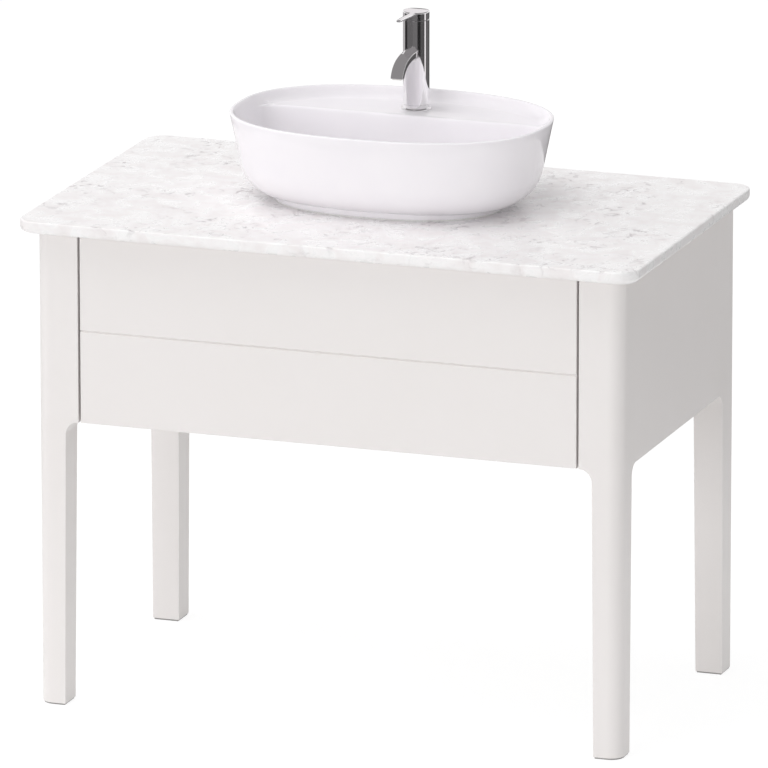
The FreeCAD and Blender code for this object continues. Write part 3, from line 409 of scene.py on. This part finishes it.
marks = add(tree, "ShaderNodeMath", {0: marks.outputs[0], 1: flat.outputs[0]}, operation="MULTIPLY")
base = add(tree, "ShaderNodeMix", {0: cloud.outputs[0]}, data_type="RGBA")
base.inputs[6].default_value = linear("#F8F7F7")
base.inputs[7].default_value = linear("#F0ECEC")
stone = add(tree, "ShaderNodeMix", {0: marks.outputs[0], 6: base.outputs[2]}, data_type="RGBA")
stone.inputs[7].default_value = linear("#B6B0B2")
tree.links.new(stone.outputs[2], shader.inputs["Base Color"])
vary(tree, shader, cloud.outputs[0], 0.26, 0.34)

# %% [markdown]
# Glazed ceramic
# The basin is white sanitary ceramic under a clear glaze. The glaze is as smooth as glass, with a very long
# and low waviness, and its white changes by a trace where it lies thicker.

# %% Glazed sanitary ceramic
tree, shader = finish("basin_ceramic", "glazed sanitary ceramic", "#F5F2F6", 0.07)
where = place_of(tree)
wave = add(tree, "ShaderNodeTexNoise", {"Vector": where, "Scale": 1000 / 45, "Detail": 1.0})
tint(tree, shader, wave.outputs["Fac"], "#F4F1F5", "#F7F4F7")
vary(tree, shader, wave.outputs["Fac"], 0.05, 0.09)
relief(tree, shader, wave.outputs["Fac"], 0.05, 0.35)

# %% [markdown]
# Chrome
# The tap and the waste cover are chromium plated brass, polished to a mirror. Only the faintest haze from
# wiping is left, so the roughness stays very low and moves a little over the surface.

# %% Polished chrome
tree, shader = finish("chrome", "polished chrome plating", "#F6F5F6", 0.05, Metallic=1.0)
haze = add(tree, "ShaderNodeTexNoise", {"Vector": place_of(tree), "Scale": 1000 / 14, "Detail": 3.0})
vary(tree, shader, haze.outputs["Fac"], 0.03, 0.075)

# %% [markdown]
# Boards behind the lacquer
# The carcass is particle board faced with white melamine, which has a fine pearl texture of about 0.9 mm.
# The pull-out box is faced with a pale grey foil, pressed with fine crossing lines like linen.

# %% Melamine carcass board
tree, shader = finish("carcass_board", "white melamine board", "#DEDBD8", 0.50)
where = place_of(tree)
pearl = add(tree, "ShaderNodeTexVoronoi", {"Vector": where, "Scale": 1000 / 0.9})
cloud = add(tree, "ShaderNodeTexNoise", {"Vector": where, "Scale": 1000 / 120, "Detail": 2.0})
tint(tree, shader, cloud.outputs["Fac"], "#DCD9D6", "#E1DEDB")
relief(tree, shader, pearl.outputs["Distance"], 0.03, 0.5)

# %% Linen foil on the pull-out box
tree, shader = finish("drawer_board", "pale grey linen foil", "#CFCCC8", 0.48)
where = place_of(tree)
# the real thread lines are 0.4 mm apart; 1.2 mm shows in a close view
THREAD_MM = 1.2
warp, weft = [
    add(tree, "ShaderNodeTexWave", {"Vector": where, "Scale": WAVE_MM / THREAD_MM, "Distortion": 1.5,
                                    "Detail": 2.0}, bands_direction=way) for way in "XZ"
]
cross = add(tree, "ShaderNodeMath", {0: warp.outputs["Fac"], 1: weft.outputs["Fac"]}, operation="MULTIPLY")
tint(tree, shader, cross.outputs[0], "#C9C6C2", "#D4D1CD")
relief(tree, shader, cross.outputs[0], 0.03, 0.5)

# %% [markdown]
# Small parts
# Moulded plastics have a fine spark-eroded skin, zinc plated steel shows soft spangles, turned brass has
# fine rings, rubber is dull and slightly uneven, and beech dowels show short dark rays in the grain.

# %% Plastics, rubber and silicone
# slot, name, darker and lighter colour, roughness
MOULDED = [
    ("trap_plastic", "white polypropylene", "#E6E5E1", "#EDECE8", 0.34),
    ("glide_plastic", "grey nylon glide", "#8E8C8A", "#989694", 0.45),
    ("grey_plastic", "grey acetal", "#5E6063", "#686A6D", 0.38),
    ("cartridge_plastic", "natural acetal", "#D6D5CE", "#DFDED8", 0.36),
    ("silicone", "clear white silicone", "#E6E6E3", "#EFEFEC", 0.30),
    ("black_rubber", "black sealing rubber", "#191919", "#242424", 0.70),
]
for slot, name, dark, light, rough in MOULDED:
    tree, shader = finish(slot, name, light, rough)
    where = place_of(tree)
    skin = add(tree, "ShaderNodeTexNoise", {"Vector": where, "Scale": 1000 / 0.7, "Detail": 2.0})
    cloud = add(tree, "ShaderNodeTexNoise", {"Vector": where, "Scale": 1000 / 25, "Detail": 2.0})
    tint(tree, shader, cloud.outputs["Fac"], dark, light)
    vary(tree, shader, cloud.outputs["Fac"], rough - 0.05, rough + 0.05)
    relief(tree, shader, skin.outputs["Fac"], 0.02, 0.4)

# %% Zinc plated steel
tree, shader = finish("zinc_steel", "zinc plated steel", "#B4B9BE", 0.34, Metallic=1.0)
spangle = add(tree, "ShaderNodeTexVoronoi", {"Vector": place_of(tree), "Scale": 1000 / 3.5})
tint(tree, shader, spangle.outputs["Distance"], "#A9AEB4", "#C2C6CA")
vary(tree, shader, spangle.outputs["Distance"], 0.27, 0.42)

# %% Turned brass
tree, shader = finish("brass", "turned brass", "#B8985A", 0.28, Metallic=1.0)
rings = add(tree, "ShaderNodeTexWave", {"Vector": place_of(tree), "Scale": WAVE_MM / 0.8,
                                        "Distortion": 0.4}, bands_direction="Z")
tint(tree, shader, rings.outputs["Fac"], "#AE8D50", "#C4A468")
vary(tree, shader, rings.outputs["Fac"], 0.22, 0.34)

# %% Beech
tree, shader = finish("beech", "steamed beech", "#C8A078", 0.55)
fibre = add(tree, "ShaderNodeTexNoise", {"Vector": place_of(tree, (1.0, 0.2, 1.0)), "Scale": 1000 / 1.6,
                                         "Detail": 4.0})
tint(tree, shader, fibre.outputs["Fac"], "#B98E64", "#D5B08A")
relief(tree, shader, fibre.outputs["Fac"], 0.05, 0.4)

# %% Dress the frame's own nodes
for name, obj in frame["nodes"].items():
    obj.material_slots[0].material = FINISHES[SLOT_OF[name]]
print("finishes:", len(FINISHES))

# %% [markdown]
# Boards with soft edges
# A real board's edge is never razor sharp: lacquer and edge band leave a radius of half a millimetre or
# more, and that thin rounded line catches the light. A board could be made from a cube, but a copy of its
# frame solid keeps every cut-out and fits its neighbours. The copy's loose triangles are merged into plain
# faces, its edges get a small bevel, and the bevel's faces blend into the flats by weighted normals.


# %% Copy a solid and round its edges
WELD = 0.00001
FLAT_ANGLE = 0.4
BEVEL_SEGMENTS = 2
BEVEL_ANGLE = 40
FLAT_WEIGHT = 80
# an edge with a larger turn than this, in degrees, stays sharp
CREASE_BOARD = 35
CREASE_TURNED = 32
CREASE_CAST = 40


def hand_over(piece, node, slot=None):
    body = BODY_OF[node]
    slot = slot or SLOT_OF[node]
    piece.data.materials.clear()
    piece.data.materials.append(FINISHES[slot])
    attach(piece, body)
    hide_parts(node)


def smooth(piece, angle):
    only(piece)
    bpy.ops.object.shade_smooth_by_angle(angle=math.radians(angle))


def flats_first(piece):
    only(piece)
    weigh = piece.modifiers.new("flat faces first", "WEIGHTED_NORMAL")
    weigh.keep_sharp = True
    weigh.weight = FLAT_WEIGHT
    bpy.ops.object.modifier_apply(modifier=weigh.name)


def round_edges(piece, width):
    only(piece)
    bevel = piece.modifiers.new("edge round", "BEVEL")
    bevel.width = width * MM
    bevel.segments = BEVEL_SEGMENTS
    bevel.limit_method = "ANGLE"
    bevel.angle_limit = math.radians(BEVEL_ANGLE)
    bevel.harden_normals = False
    bpy.ops.object.modifier_apply(modifier=bevel.name)
    smooth(piece, CREASE_BOARD)
    flats_first(piece)


def plain_copy(node):
    piece = linked(node + "_shaped", frame["nodes"][node].data.copy())
    only(piece)
    if piece.data.has_custom_normals:
        bpy.ops.mesh.customdata_custom_splitnormals_clear()
    bpy.ops.object.mode_set(mode="EDIT")
    bpy.ops.mesh.select_all(action="SELECT")
    bpy.ops.mesh.remove_doubles(threshold=WELD)
    bpy.ops.mesh.dissolve_limited(angle_limit=math.radians(FLAT_ANGLE))
    bpy.ops.object.mode_set(mode="OBJECT")
    return piece


print("rows in the corner of each rounded edge:", BEVEL_SEGMENTS)

# %% Soft edges on the boards and the trap
# the width of each piece's edge round, in millimetres
SOFT_BOARDS = {
    "leg_front_left": 0.8, "leg_front_right": 0.8, "leg_rear_left": 0.8, "leg_rear_right": 0.8,
    "side_panel_left": 0.5, "side_panel_right": 0.5, "drawer_front": 0.7, "worktop": 0.6,
    "inner_side_left": 0.4, "inner_side_right": 0.4, "top_rail_front": 0.4, "top_rail_rear": 0.4,
    "back_rail_upper": 0.4, "back_rail_lower": 0.4, "bottom_panel": 0.4, "drawer_side_left": 0.5,
    "drawer_side_right": 0.5, "drawer_bottom": 0.3, "drawer_back_left": 0.5, "drawer_back_right": 0.5,
    "glide_front_left": 0.6, "glide_front_right": 0.6, "glide_rear_left": 0.6, "glide_rear_right": 0.6,
    "trap_body": 0.8, "trap_cup": 0.8, "trap_nuts": 0.5, "trap_guard": 0.6,
}
for node, width in SOFT_BOARDS.items():
    piece = plain_copy(node)
    round_edges(piece, width)
    hand_over(piece, node)
    print(piece.name, "faces:", len(piece.data.polygons))

# %% [markdown]
# Outlet insert
# The spout's mouth holds a small moulded insert that steadies the stream. It shows as a thin pale line
# under the spout, so it gets the natural acetal instead of the grey one. It is small and simple enough for
# a copy with rounded edges.

# %% Outlet insert in pale acetal
OUTLET_ROUND = 0.3
outlet = plain_copy("tap_aerator")
round_edges(outlet, OUTLET_ROUND)
hand_over(outlet, "tap_aerator", "cartridge_plastic")
print("outlet insert faces:", len(outlet.data.polygons))

# %% [markdown]
# Basin
# The basin is one casting: an outer wall that leans out and rolls under to a foot, a thin rim, and inside a
# raised deck behind the bowl. A lathe can't turn it, because the plan is a rounded oval and the bowl is a
# D. A box with subdivision would lose the crisp rim. So it is built as rings of points: each ring is one
# closed line round the basin, all rings have the same number of spokes, and faces join ring to ring.

# %% Basin sizes in millimetres
BASIN_Y = 22.5
HALF_WIDTH = 249.0
HALF_DEPTH = 178.5
OVAL_POWER = 2.37
RIM_Z = 899.0
DECK_Z = 881.0
DECK_FRONT_Y = 88.5
FLOOR_Z = 787.0
UNDER_Z = 776.0
FOOT_END_INSET = 18.0
FOOT_Z = 766.5
DRAIN_Y = -25.0
DRAIN_RADIUS = 23.0
RECESS_RADIUS = 32.0
RECESS_DEPTH = 3.0
DISH_RADIUS = 36.0
SPOKE_Y = -40.0
SPOKES = 288
CORNER_SHARPNESS = 17
CORNER_X = 206.0
print("basin width and depth in mm:", 2 * HALF_WIDTH, 2 * HALF_DEPTH)


# %% Points on the oval
def reach(turn, inset, end_inset=0.0):
    # distance from the spokes' centre to the oval that lies this far inside the rim
    a = HALF_WIDTH - inset - end_inset
    b = HALF_DEPTH - inset
    c = math.cos(turn)
    s = math.sin(turn)
    low = 0.0
    high = 400.0
    for step in range(40):
        r = (low + high) / 2
        inside = abs(r * c / a) ** OVAL_POWER + abs((SPOKE_Y + r * s - BASIN_Y) / b) ** OVAL_POWER
        if inside < 1:
            low = r
        else:
            high = r
    return low


def spoke_angles():
    # more spokes where the deck's front meets the side walls
    fine = 2000
    spread = 0.16
    extra = 2.6
    corner = math.atan2(DECK_FRONT_Y - SPOKE_Y, CORNER_X)
    weights = []
    for k in range(fine):
        turn = 2 * math.pi * k / fine
        right = math.exp(-((turn - corner) / spread) ** 2)
        left = math.exp(-((turn - math.pi + corner) / spread) ** 2)
        weights.append(1 + extra * (right + left))
    total = sum(weights)
    angles = []
    run = 0.0
    for k in range(fine):
        if run >= len(angles) * total / SPOKES:
            angles.append(2 * math.pi * k / fine)
        run += weights[k]
    return angles[:SPOKES]


TURNS = spoke_angles()
print("spokes:", len(TURNS))


# %% The basin's rings, from the drain's underside round the outside to the drain again
def flat_point(turn, r, z):
    return (r * math.cos(turn), SPOKE_Y + r * math.sin(turn), z)


def oval_ring(inset, z, end_inset=0.0):
    return [flat_point(turn, reach(turn, inset, end_inset), z) for turn in TURNS]


def round_ring(radius, z):
    return [(radius * math.cos(t), DRAIN_Y + radius * math.sin(t), z) for t in TURNS]


def bowl_reach(turn, inset, front_y):
    # the inner oval, cut off by the deck's front wall with a rounded corner
    r = reach(turn, inset)
    s = math.sin(turn)
    away_from_deck = 0.05
    if s < away_from_deck:
        return r
    line = (front_y - SPOKE_Y) / s
    return (r ** -CORNER_SHARPNESS + line ** -CORNER_SHARPNESS) ** (-1 / CORNER_SHARPNESS)


def roll(slope, radius, top_inset, base_z, end_degrees, steps):
    # inset and height down a straight leaning wall that then rolls under with one radius
    start = math.atan(slope)
    end = math.radians(end_degrees)
    join = base_z + radius * (math.sin(end) - math.sin(start))
    inset = top_inset + slope * (RIM_Z - join)
    rows = []
    for k in range(steps + 1):
        turn = start + (end - start) * k / steps
        rows.append((inset + radius * (math.cos(start) - math.cos(turn)),
                     join - radius * (math.sin(turn) - math.sin(start))))
    return rows


OUTER_SLOPE = 0.20
INNER_SLOPE = 0.24
WALL = 6.0
ROUND = 2.4
outer = roll(OUTER_SLOPE, radius=60.0, top_inset=0.0, base_z=UNDER_Z, end_degrees=62.0, steps=14)
inner = roll(INNER_SLOPE, radius=48.0, top_inset=WALL, base_z=FLOOR_Z, end_degrees=84.0, steps=16)
rings = [round_ring(DRAIN_RADIUS, UNDER_Z)]
foot_inset = outer[-1][0] + 1.5
# the foot's width and height over its section, from its inner side round to its outer side
for step, z in ((13.0, UNDER_Z), (12.0, FOOT_Z), (2.0, FOOT_Z), (0.6, FOOT_Z + 0.6), (0.0, FOOT_Z + 2.0),
                (0.0, UNDER_Z - 2.5), (0.8, UNDER_Z)):
    rings.append(oval_ring(foot_inset + step, z, FOOT_END_INSET))
for inset, z in reversed(outer):
    rings.append(oval_ring(inset, z))
for share in (0.25, 0.5, 0.75):
    inset, z = outer[0]
    rings.append(oval_ring(inset * (1 - share), z + (RIM_Z - z) * share))
for degrees in (0, 22.5, 45, 67.5, 90):
    turn = math.radians(degrees)
    rings.append(oval_ring(0.3 + ROUND * (1 - math.cos(turn)), RIM_Z - ROUND * (1 - math.sin(turn))))
for degrees in (90, 60, 30, 0):
    turn = math.radians(degrees)
    rings.append(oval_ring(WALL - 0.2 - ROUND * 0.8 * (1 - math.cos(turn)),
                           RIM_Z - ROUND * 0.8 * (1 - math.sin(turn))))
print("rings up to the rim:", len(rings))

# %% Inner rim wall, deck and the deck's front edge
FILLET = 11.0
EDGE = 5.0
FRONT_SLOPE = 0.2
FILLET_STEPS = 6
DECK_STEPS = 8
NO_LINE = 1e4


def wall_inset(z):
    return WALL + INNER_SLOPE * (RIM_Z - z)


def front_line(z):
    return DECK_FRONT_Y - FRONT_SLOPE * (DECK_Z - z)


def curve(p0, p1, p2, t):
    return [(1 - t) ** 2 * a + 2 * t * (1 - t) * b + t * t * c for a, b, c in zip(p0, p1, p2)]


for z in (RIM_Z - 4.0, RIM_Z - 5.5, DECK_Z + FILLET):
    rings.append(oval_ring(wall_inset(z), z))
steps = FILLET_STEPS * 2 + DECK_STEPS
for k in range(1, steps + 1):
    ring = []
    for turn in TURNS:
        wall_z = DECK_Z + FILLET - (FILLET + EDGE) * k / steps
        wall_r = bowl_reach(turn, wall_inset(wall_z), front_line(wall_z) if wall_z < DECK_Z else NO_LINE)
        back = reach(turn, wall_inset(DECK_Z))
        lip = bowl_reach(turn, wall_inset(DECK_Z), DECK_FRONT_Y)
        wide = max(back - lip, 0.1)
        fillet = min(FILLET, wide * 0.6)
        edge = min(EDGE, wide * 0.3)
        # where the deck narrows to nothing, its rings pass smoothly into rings on the plain wall
        share = min(max((wide - 3.0) / 20.0, 0.0), 1.0)
        share = share * share * (3 - 2 * share)
        if k <= FILLET_STEPS:
            top = (reach(turn, wall_inset(DECK_Z + FILLET)), DECK_Z + FILLET)
            r, z = curve(top, (back, DECK_Z), (back - fillet, DECK_Z), k / FILLET_STEPS)
        elif k <= FILLET_STEPS + DECK_STEPS:
            t = (k - FILLET_STEPS) / DECK_STEPS
            r = (back - fillet) * (1 - t) + (lip + edge) * t
            z = DECK_Z
        else:
            t = (k - FILLET_STEPS - DECK_STEPS) / FILLET_STEPS
            low = bowl_reach(turn, wall_inset(DECK_Z - EDGE), front_line(DECK_Z - EDGE))
            r, z = curve((lip + edge, DECK_Z), (lip, DECK_Z), (low, DECK_Z - EDGE), t)
        ring.append(flat_point(turn, r * share + wall_r * (1 - share), z * share + wall_z * (1 - share)))
    rings.append(ring)
join_inset, join_z = inner[0]
for share in (0.25, 0.5, 0.75):
    z = DECK_Z - EDGE + (join_z - DECK_Z + EDGE) * share
    rings.append([flat_point(t, bowl_reach(t, wall_inset(z), front_line(z)), z) for t in TURNS])
for inset, z in inner:
    line = front_line(join_z) - (inset - join_inset)
    rings.append([flat_point(t, bowl_reach(t, inset, line), z) for t in TURNS])
last = rings[-1]
dish = round_ring(DISH_RADIUS, FLOOR_Z - 0.4)
for share in (0.2, 0.4, 0.6, 0.8, 1.0):
    rings.append([tuple(a + (b - a) * share for a, b in zip(p, q)) for p, q in zip(last, dish)])
rings.append(round_ring(RECESS_RADIUS, FLOOR_Z - RECESS_DEPTH))
rings.append(round_ring(DRAIN_RADIUS, FLOOR_Z - RECESS_DEPTH))
print("rings in all:", len(rings))

# %% Join the rings
rings = [[(x * MM, y * MM, z * MM) for x, y, z in ring] for ring in rings]
basin = solid_from_rows("basin_casting", rings, "joined")
smooth(basin, CREASE_CAST)
hand_over(basin, "basin")
print("basin faces:", len(basin.data.polygons))

# %% [markdown]
# Turned parts
# The tap's foot, body and head and the waste cover are round. Cylinders could be stacked, but the small
# steps and rounds between them are easier to draw. So each is made as on a lathe: half of its section is
# drawn as a line of points, each a radius and a height, and the line is spun round its axis.


# %% Spin a section
def turned(name, section, axis_xy, steps=96):
    mesh = bpy.data.meshes.new(name)
    x, y = axis_xy
    points = [((x + r) * MM, y * MM, z * MM) for r, z in section]
    mesh.from_pydata(points, [(k, k + 1) for k in range(len(points) - 1)], [])
    piece = linked(name, mesh)
    only(piece)
    bpy.ops.object.mode_set(mode="EDIT")
    bpy.ops.mesh.select_all(action="SELECT")
    bpy.ops.mesh.spin(steps=steps, angle=2 * math.pi, center=(x * MM, y * MM, 0), axis=(0, 0, 1))
    bpy.ops.mesh.select_all(action="SELECT")
    bpy.ops.mesh.remove_doubles(threshold=0.000002)
    bpy.ops.mesh.normals_make_consistent(inside=False)
    bpy.ops.object.mode_set(mode="OBJECT")
    smooth(piece, CREASE_TURNED)
    return piece


# %% Tap foot and body
TAP_XY = (0.0, 135.0)
COLUMN_RADIUS = 20.3
foot = turned("tap_foot_ring", [
    (17.0, 881.0), (23.3, 881.0), (23.5, 881.2), (23.5, 883.2), (23.3, 883.7), (22.9, 884.0), (17.0, 884.0),
    (17.0, 881.0)], TAP_XY)
hand_over(foot, "tap_base")
body = turned("tap_column", [
    (16.0, 884.0), (20.0, 884.0), (COLUMN_RADIUS, 884.3), (COLUMN_RADIUS, 889.7), (19.95, 890.0),
    (COLUMN_RADIUS, 890.3), (COLUMN_RADIUS, 1021.9), (20.1, 1022.2), (19.8, 1022.3), (15.1, 1022.3),
    (15.1, 981.3), (1.0, 981.3), (1.0, 969.3), (16.0, 969.3), (16.0, 884.0)], TAP_XY)
hand_over(body, "tap_body")
print("tap column faces:", len(body.data.polygons))

# %% [markdown]
# Spout
# The spout is a flat bar that leaves the column level and curves down more and more, as a quarter of a
# superellipse does. Its section is drawn at many places along the bend and the sections are joined. The
# upper and lower faces follow two such curves, so the bar's thickness changes towards its tip. A box bent
# along a round arc would start its curve too suddenly.

# %% Tap spout
SPOUT_TOP = 977.5
SPOUT_TIP = 947.5
SPOUT_THICK = 9.5
SPOUT_HALF = 10.0
SPOUT_ROOT_Y = 121.0
SPOUT_START_Y = 116.0
SPOUT_STEPS = 44
BEND_POWER = 2.6
# how far each face's whole curve would reach forward and drop
OUTER_LENGTH, OUTER_DROP = 73.0, 44.0
INNER_LENGTH, INNER_DROP = 66.0, 34.5
UPPER_ROUND = 1.2
TIP_SHRINK = 0.35


def bend_turn(drop, down):
    # the curve's own angle at which it has come down this far
    return math.acos((1 - down / drop) ** (BEND_POWER / 2))


def bend_point(length, drop, top, turn):
    forward = length * math.sin(turn) ** (2 / BEND_POWER)
    down = drop * (1 - math.cos(turn) ** (2 / BEND_POWER))
    return Vector((0, SPOUT_START_Y - forward, top - down))


def bar_section(outer, inner, shrink=0.0):
    # a flat bar's outline with round upper edges and 0.5 mm lower ones
    depth = (inner - outer).length
    down = (inner - outer) / depth
    half = SPOUT_HALF - shrink
    steps = [math.radians(22.5 * k) for k in range(5)]
    outline = [(-half + UPPER_ROUND * (1 - math.cos(b)), UPPER_ROUND * (1 - math.sin(b))) for b in steps]
    outline += [(-x, s) for x, s in reversed(outline)]
    outline += [(half, depth - 0.5), (half - 0.15, depth - 0.15), (half - 0.5, depth)]
    outline += [(-half + 0.5, depth), (-half + 0.15, depth - 0.15), (-half, depth - 0.5)]
    rows = []
    for x, s in outline:
        s = shrink + s * (depth - 2 * shrink) / depth
        rows.append((outer + down * s + Vector((x, 0, 0))) * MM)
    return rows


SPOUT_UNDER = SPOUT_TOP - SPOUT_THICK
last_outer = bend_turn(OUTER_DROP, SPOUT_TOP - SPOUT_TIP)
last_inner = bend_turn(INNER_DROP, SPOUT_UNDER - SPOUT_TIP)
root = [Vector((0, SPOUT_ROOT_Y, z)) for z in (SPOUT_TOP, SPOUT_UNDER)]
sections = [bar_section(*root)]
# places along the bend, closer together at its start, and one just before the tip for its small round
places = [0.0] + [(k / SPOUT_STEPS) ** 1.4 for k in range(2, SPOUT_STEPS)] + [0.993, 1.0]
for place in places:
    outer_point = bend_point(OUTER_LENGTH, OUTER_DROP, SPOUT_TOP, last_outer * place)
    inner_point = bend_point(INNER_LENGTH, INNER_DROP, SPOUT_UNDER, last_inner * place)
    sections.append(bar_section(outer_point, inner_point, TIP_SHRINK if place == 1.0 else 0.0))
spout = solid_from_rows("tap_spout_bar", sections, "capped")
smooth(spout, CREASE_TURNED)
flats_first(spout)
hand_over(spout, "tap_spout")
print("spout faces:", len(spout.data.polygons))

# %% [markdown]
# Head and lever
# The head is a turned cap with a hollow for the lever's ball, cut away behind so that it can tilt. Its top
# falls off at the rear. The lever is a slim bar with a crowned top: its oval sections widen into the cap
# and close at the tip. A box with a bevel would be flat on top, and then the whole bar mirrors one card.

# %% Tap head
HEAD_Z = 1022.9
HEAD_TOP = 1035.5
# the top's rear part falls by this much, from this far behind the axis to the edge
REAR_FALL = 1.2
FALL_START = 8.0
RELIEF_SLOPE = math.tan(math.radians(19.5))
head = turned("tap_head_lever", [
    (0.0, HEAD_TOP), (4.0, HEAD_TOP), (8.0, HEAD_TOP), (11.0, HEAD_TOP), (13.5, HEAD_TOP), (15.5, HEAD_TOP),
    (17.2, HEAD_TOP), (18.8, HEAD_TOP), (19.4, HEAD_TOP - 0.12), (19.9, HEAD_TOP - 0.4),
    (20.2, HEAD_TOP - 0.9), (COLUMN_RADIUS, HEAD_TOP - 1.5), (COLUMN_RADIUS, HEAD_TOP - 2.0),
    (COLUMN_RADIUS, HEAD_Z + 0.2), (20.1, HEAD_Z), (16.53, HEAD_Z), (16.8, HEAD_Z + 3.0), (16.6, 1028.5),
    (16.0, 1031.0), (15.08, 1033.0), (0.0, 1033.0)], TAP_XY)
for vertex in head.data.vertices:
    back = vertex.co.y / MM - TAP_XY[1]
    height = vertex.co.z / MM
    if height > HEAD_TOP - 2.2:
        height -= REAR_FALL * max(0.0, (back - FALL_START) / (COLUMN_RADIUS - FALL_START)) ** 2
    vertex.co.z = max(height, HEAD_Z + RELIEF_SLOPE * back if back > 0 else HEAD_Z) * MM
head.data.update()
print("head corners:", len(head.data.vertices))

# %% Lever
LEVER_TIP_Y = 52.5
TIP_ROUND = 2.8
TIP_WIDTH = 7.2
WIDENING = 3.0 / 62.5
FLARE = 2.5
FLARE_Y, FLARE_LENGTH = 98.0, 20.0
LEVER_THICK = 4.0
LEVER_AXIS_Z = 1032.7
LEVER_RISE = 3.4 / 82.5
ROUNDNESS = 3.4
SECTION_POINTS = 24
SECTION_YS = (118, 116, 114, 112, 110, 107, 104, 100, 95, 88, 80, 72, 64, 58, 55.3, 54.2, 53.4, 52.9, 52.6,
              52.5)


def fuller(value):
    # a superellipse's share of its half width or half height
    return math.copysign(abs(value) ** (2 / ROUNDNESS), value)


rows = []
for y in SECTION_YS:
    width = TIP_WIDTH + WIDENING * (y - LEVER_TIP_Y) + FLARE * max(0.0, (y - FLARE_Y) / FLARE_LENGTH) ** 2
    thick = LEVER_THICK
    # the last few millimetres close towards the tip
    near = (TIP_ROUND - (y - LEVER_TIP_Y)) / TIP_ROUND
    if near > 0:
        width *= 0.35 + 0.65 * math.sqrt(1 - near * near)
        thick *= 0.55 + 0.45 * math.sqrt(1 - near * near)
    middle = LEVER_AXIS_Z + LEVER_RISE * (TAP_XY[1] - y)
    row = []
    for k in range(SECTION_POINTS):
        turn = 2 * math.pi * k / SECTION_POINTS
        across = fuller(math.cos(turn)) * width / 2
        up = fuller(math.sin(turn)) * thick / 2
        row.append((across * MM, y * MM, (middle + up) * MM))
    rows.append(row)
lever = solid_from_rows("lever_bar", rows, "capped")
only(head, lever)
bpy.ops.object.join()
smooth(head, CREASE_CAST)
flats_first(head)
hand_over(head, "tap_lever")
print("head and lever faces:", len(head.data.polygons))

# %% [markdown]
# Waste cover
# A free-flow waste has a fixed cover, so that water can always leave. It is a low dome on a stem, with a
# cross bar under it that holds it in the waste. The dome and stem are turned, and the bar is a plain cube
# set to its size.

# %% Waste cover
DRAIN_XY = (0.0, DRAIN_Y)
BAR_MM = (33.8, 4.0, 3.0)
BAR_Z = 773.5
cover = turned("waste_cover_domed", [
    (0.0, 795.4), (9.0, 795.35), (18.0, 795.15), (25.0, 794.8), (28.2, 794.5), (29.5, 794.0), (30.0, 793.3),
    (29.7, 792.75), (29.0, 792.5), (5.5, 792.5), (4.4, 791.9), (4.0, 791.0), (4.0, 772.4), (3.6, 772.0),
    (0.0, 772.0)], DRAIN_XY)
bpy.ops.mesh.primitive_cube_add(size=1, location=(0, DRAIN_Y * MM, BAR_Z * MM))
bar = bpy.context.object
bar.dimensions = [side * MM for side in BAR_MM]
bpy.ops.object.transform_apply(location=True, rotation=True, scale=True)
only(cover, bar)
bpy.ops.object.join()
smooth(cover, CREASE_TURNED)
hand_over(cover, "waste_cover")
print("waste cover faces:", len(cover.data.polygons))
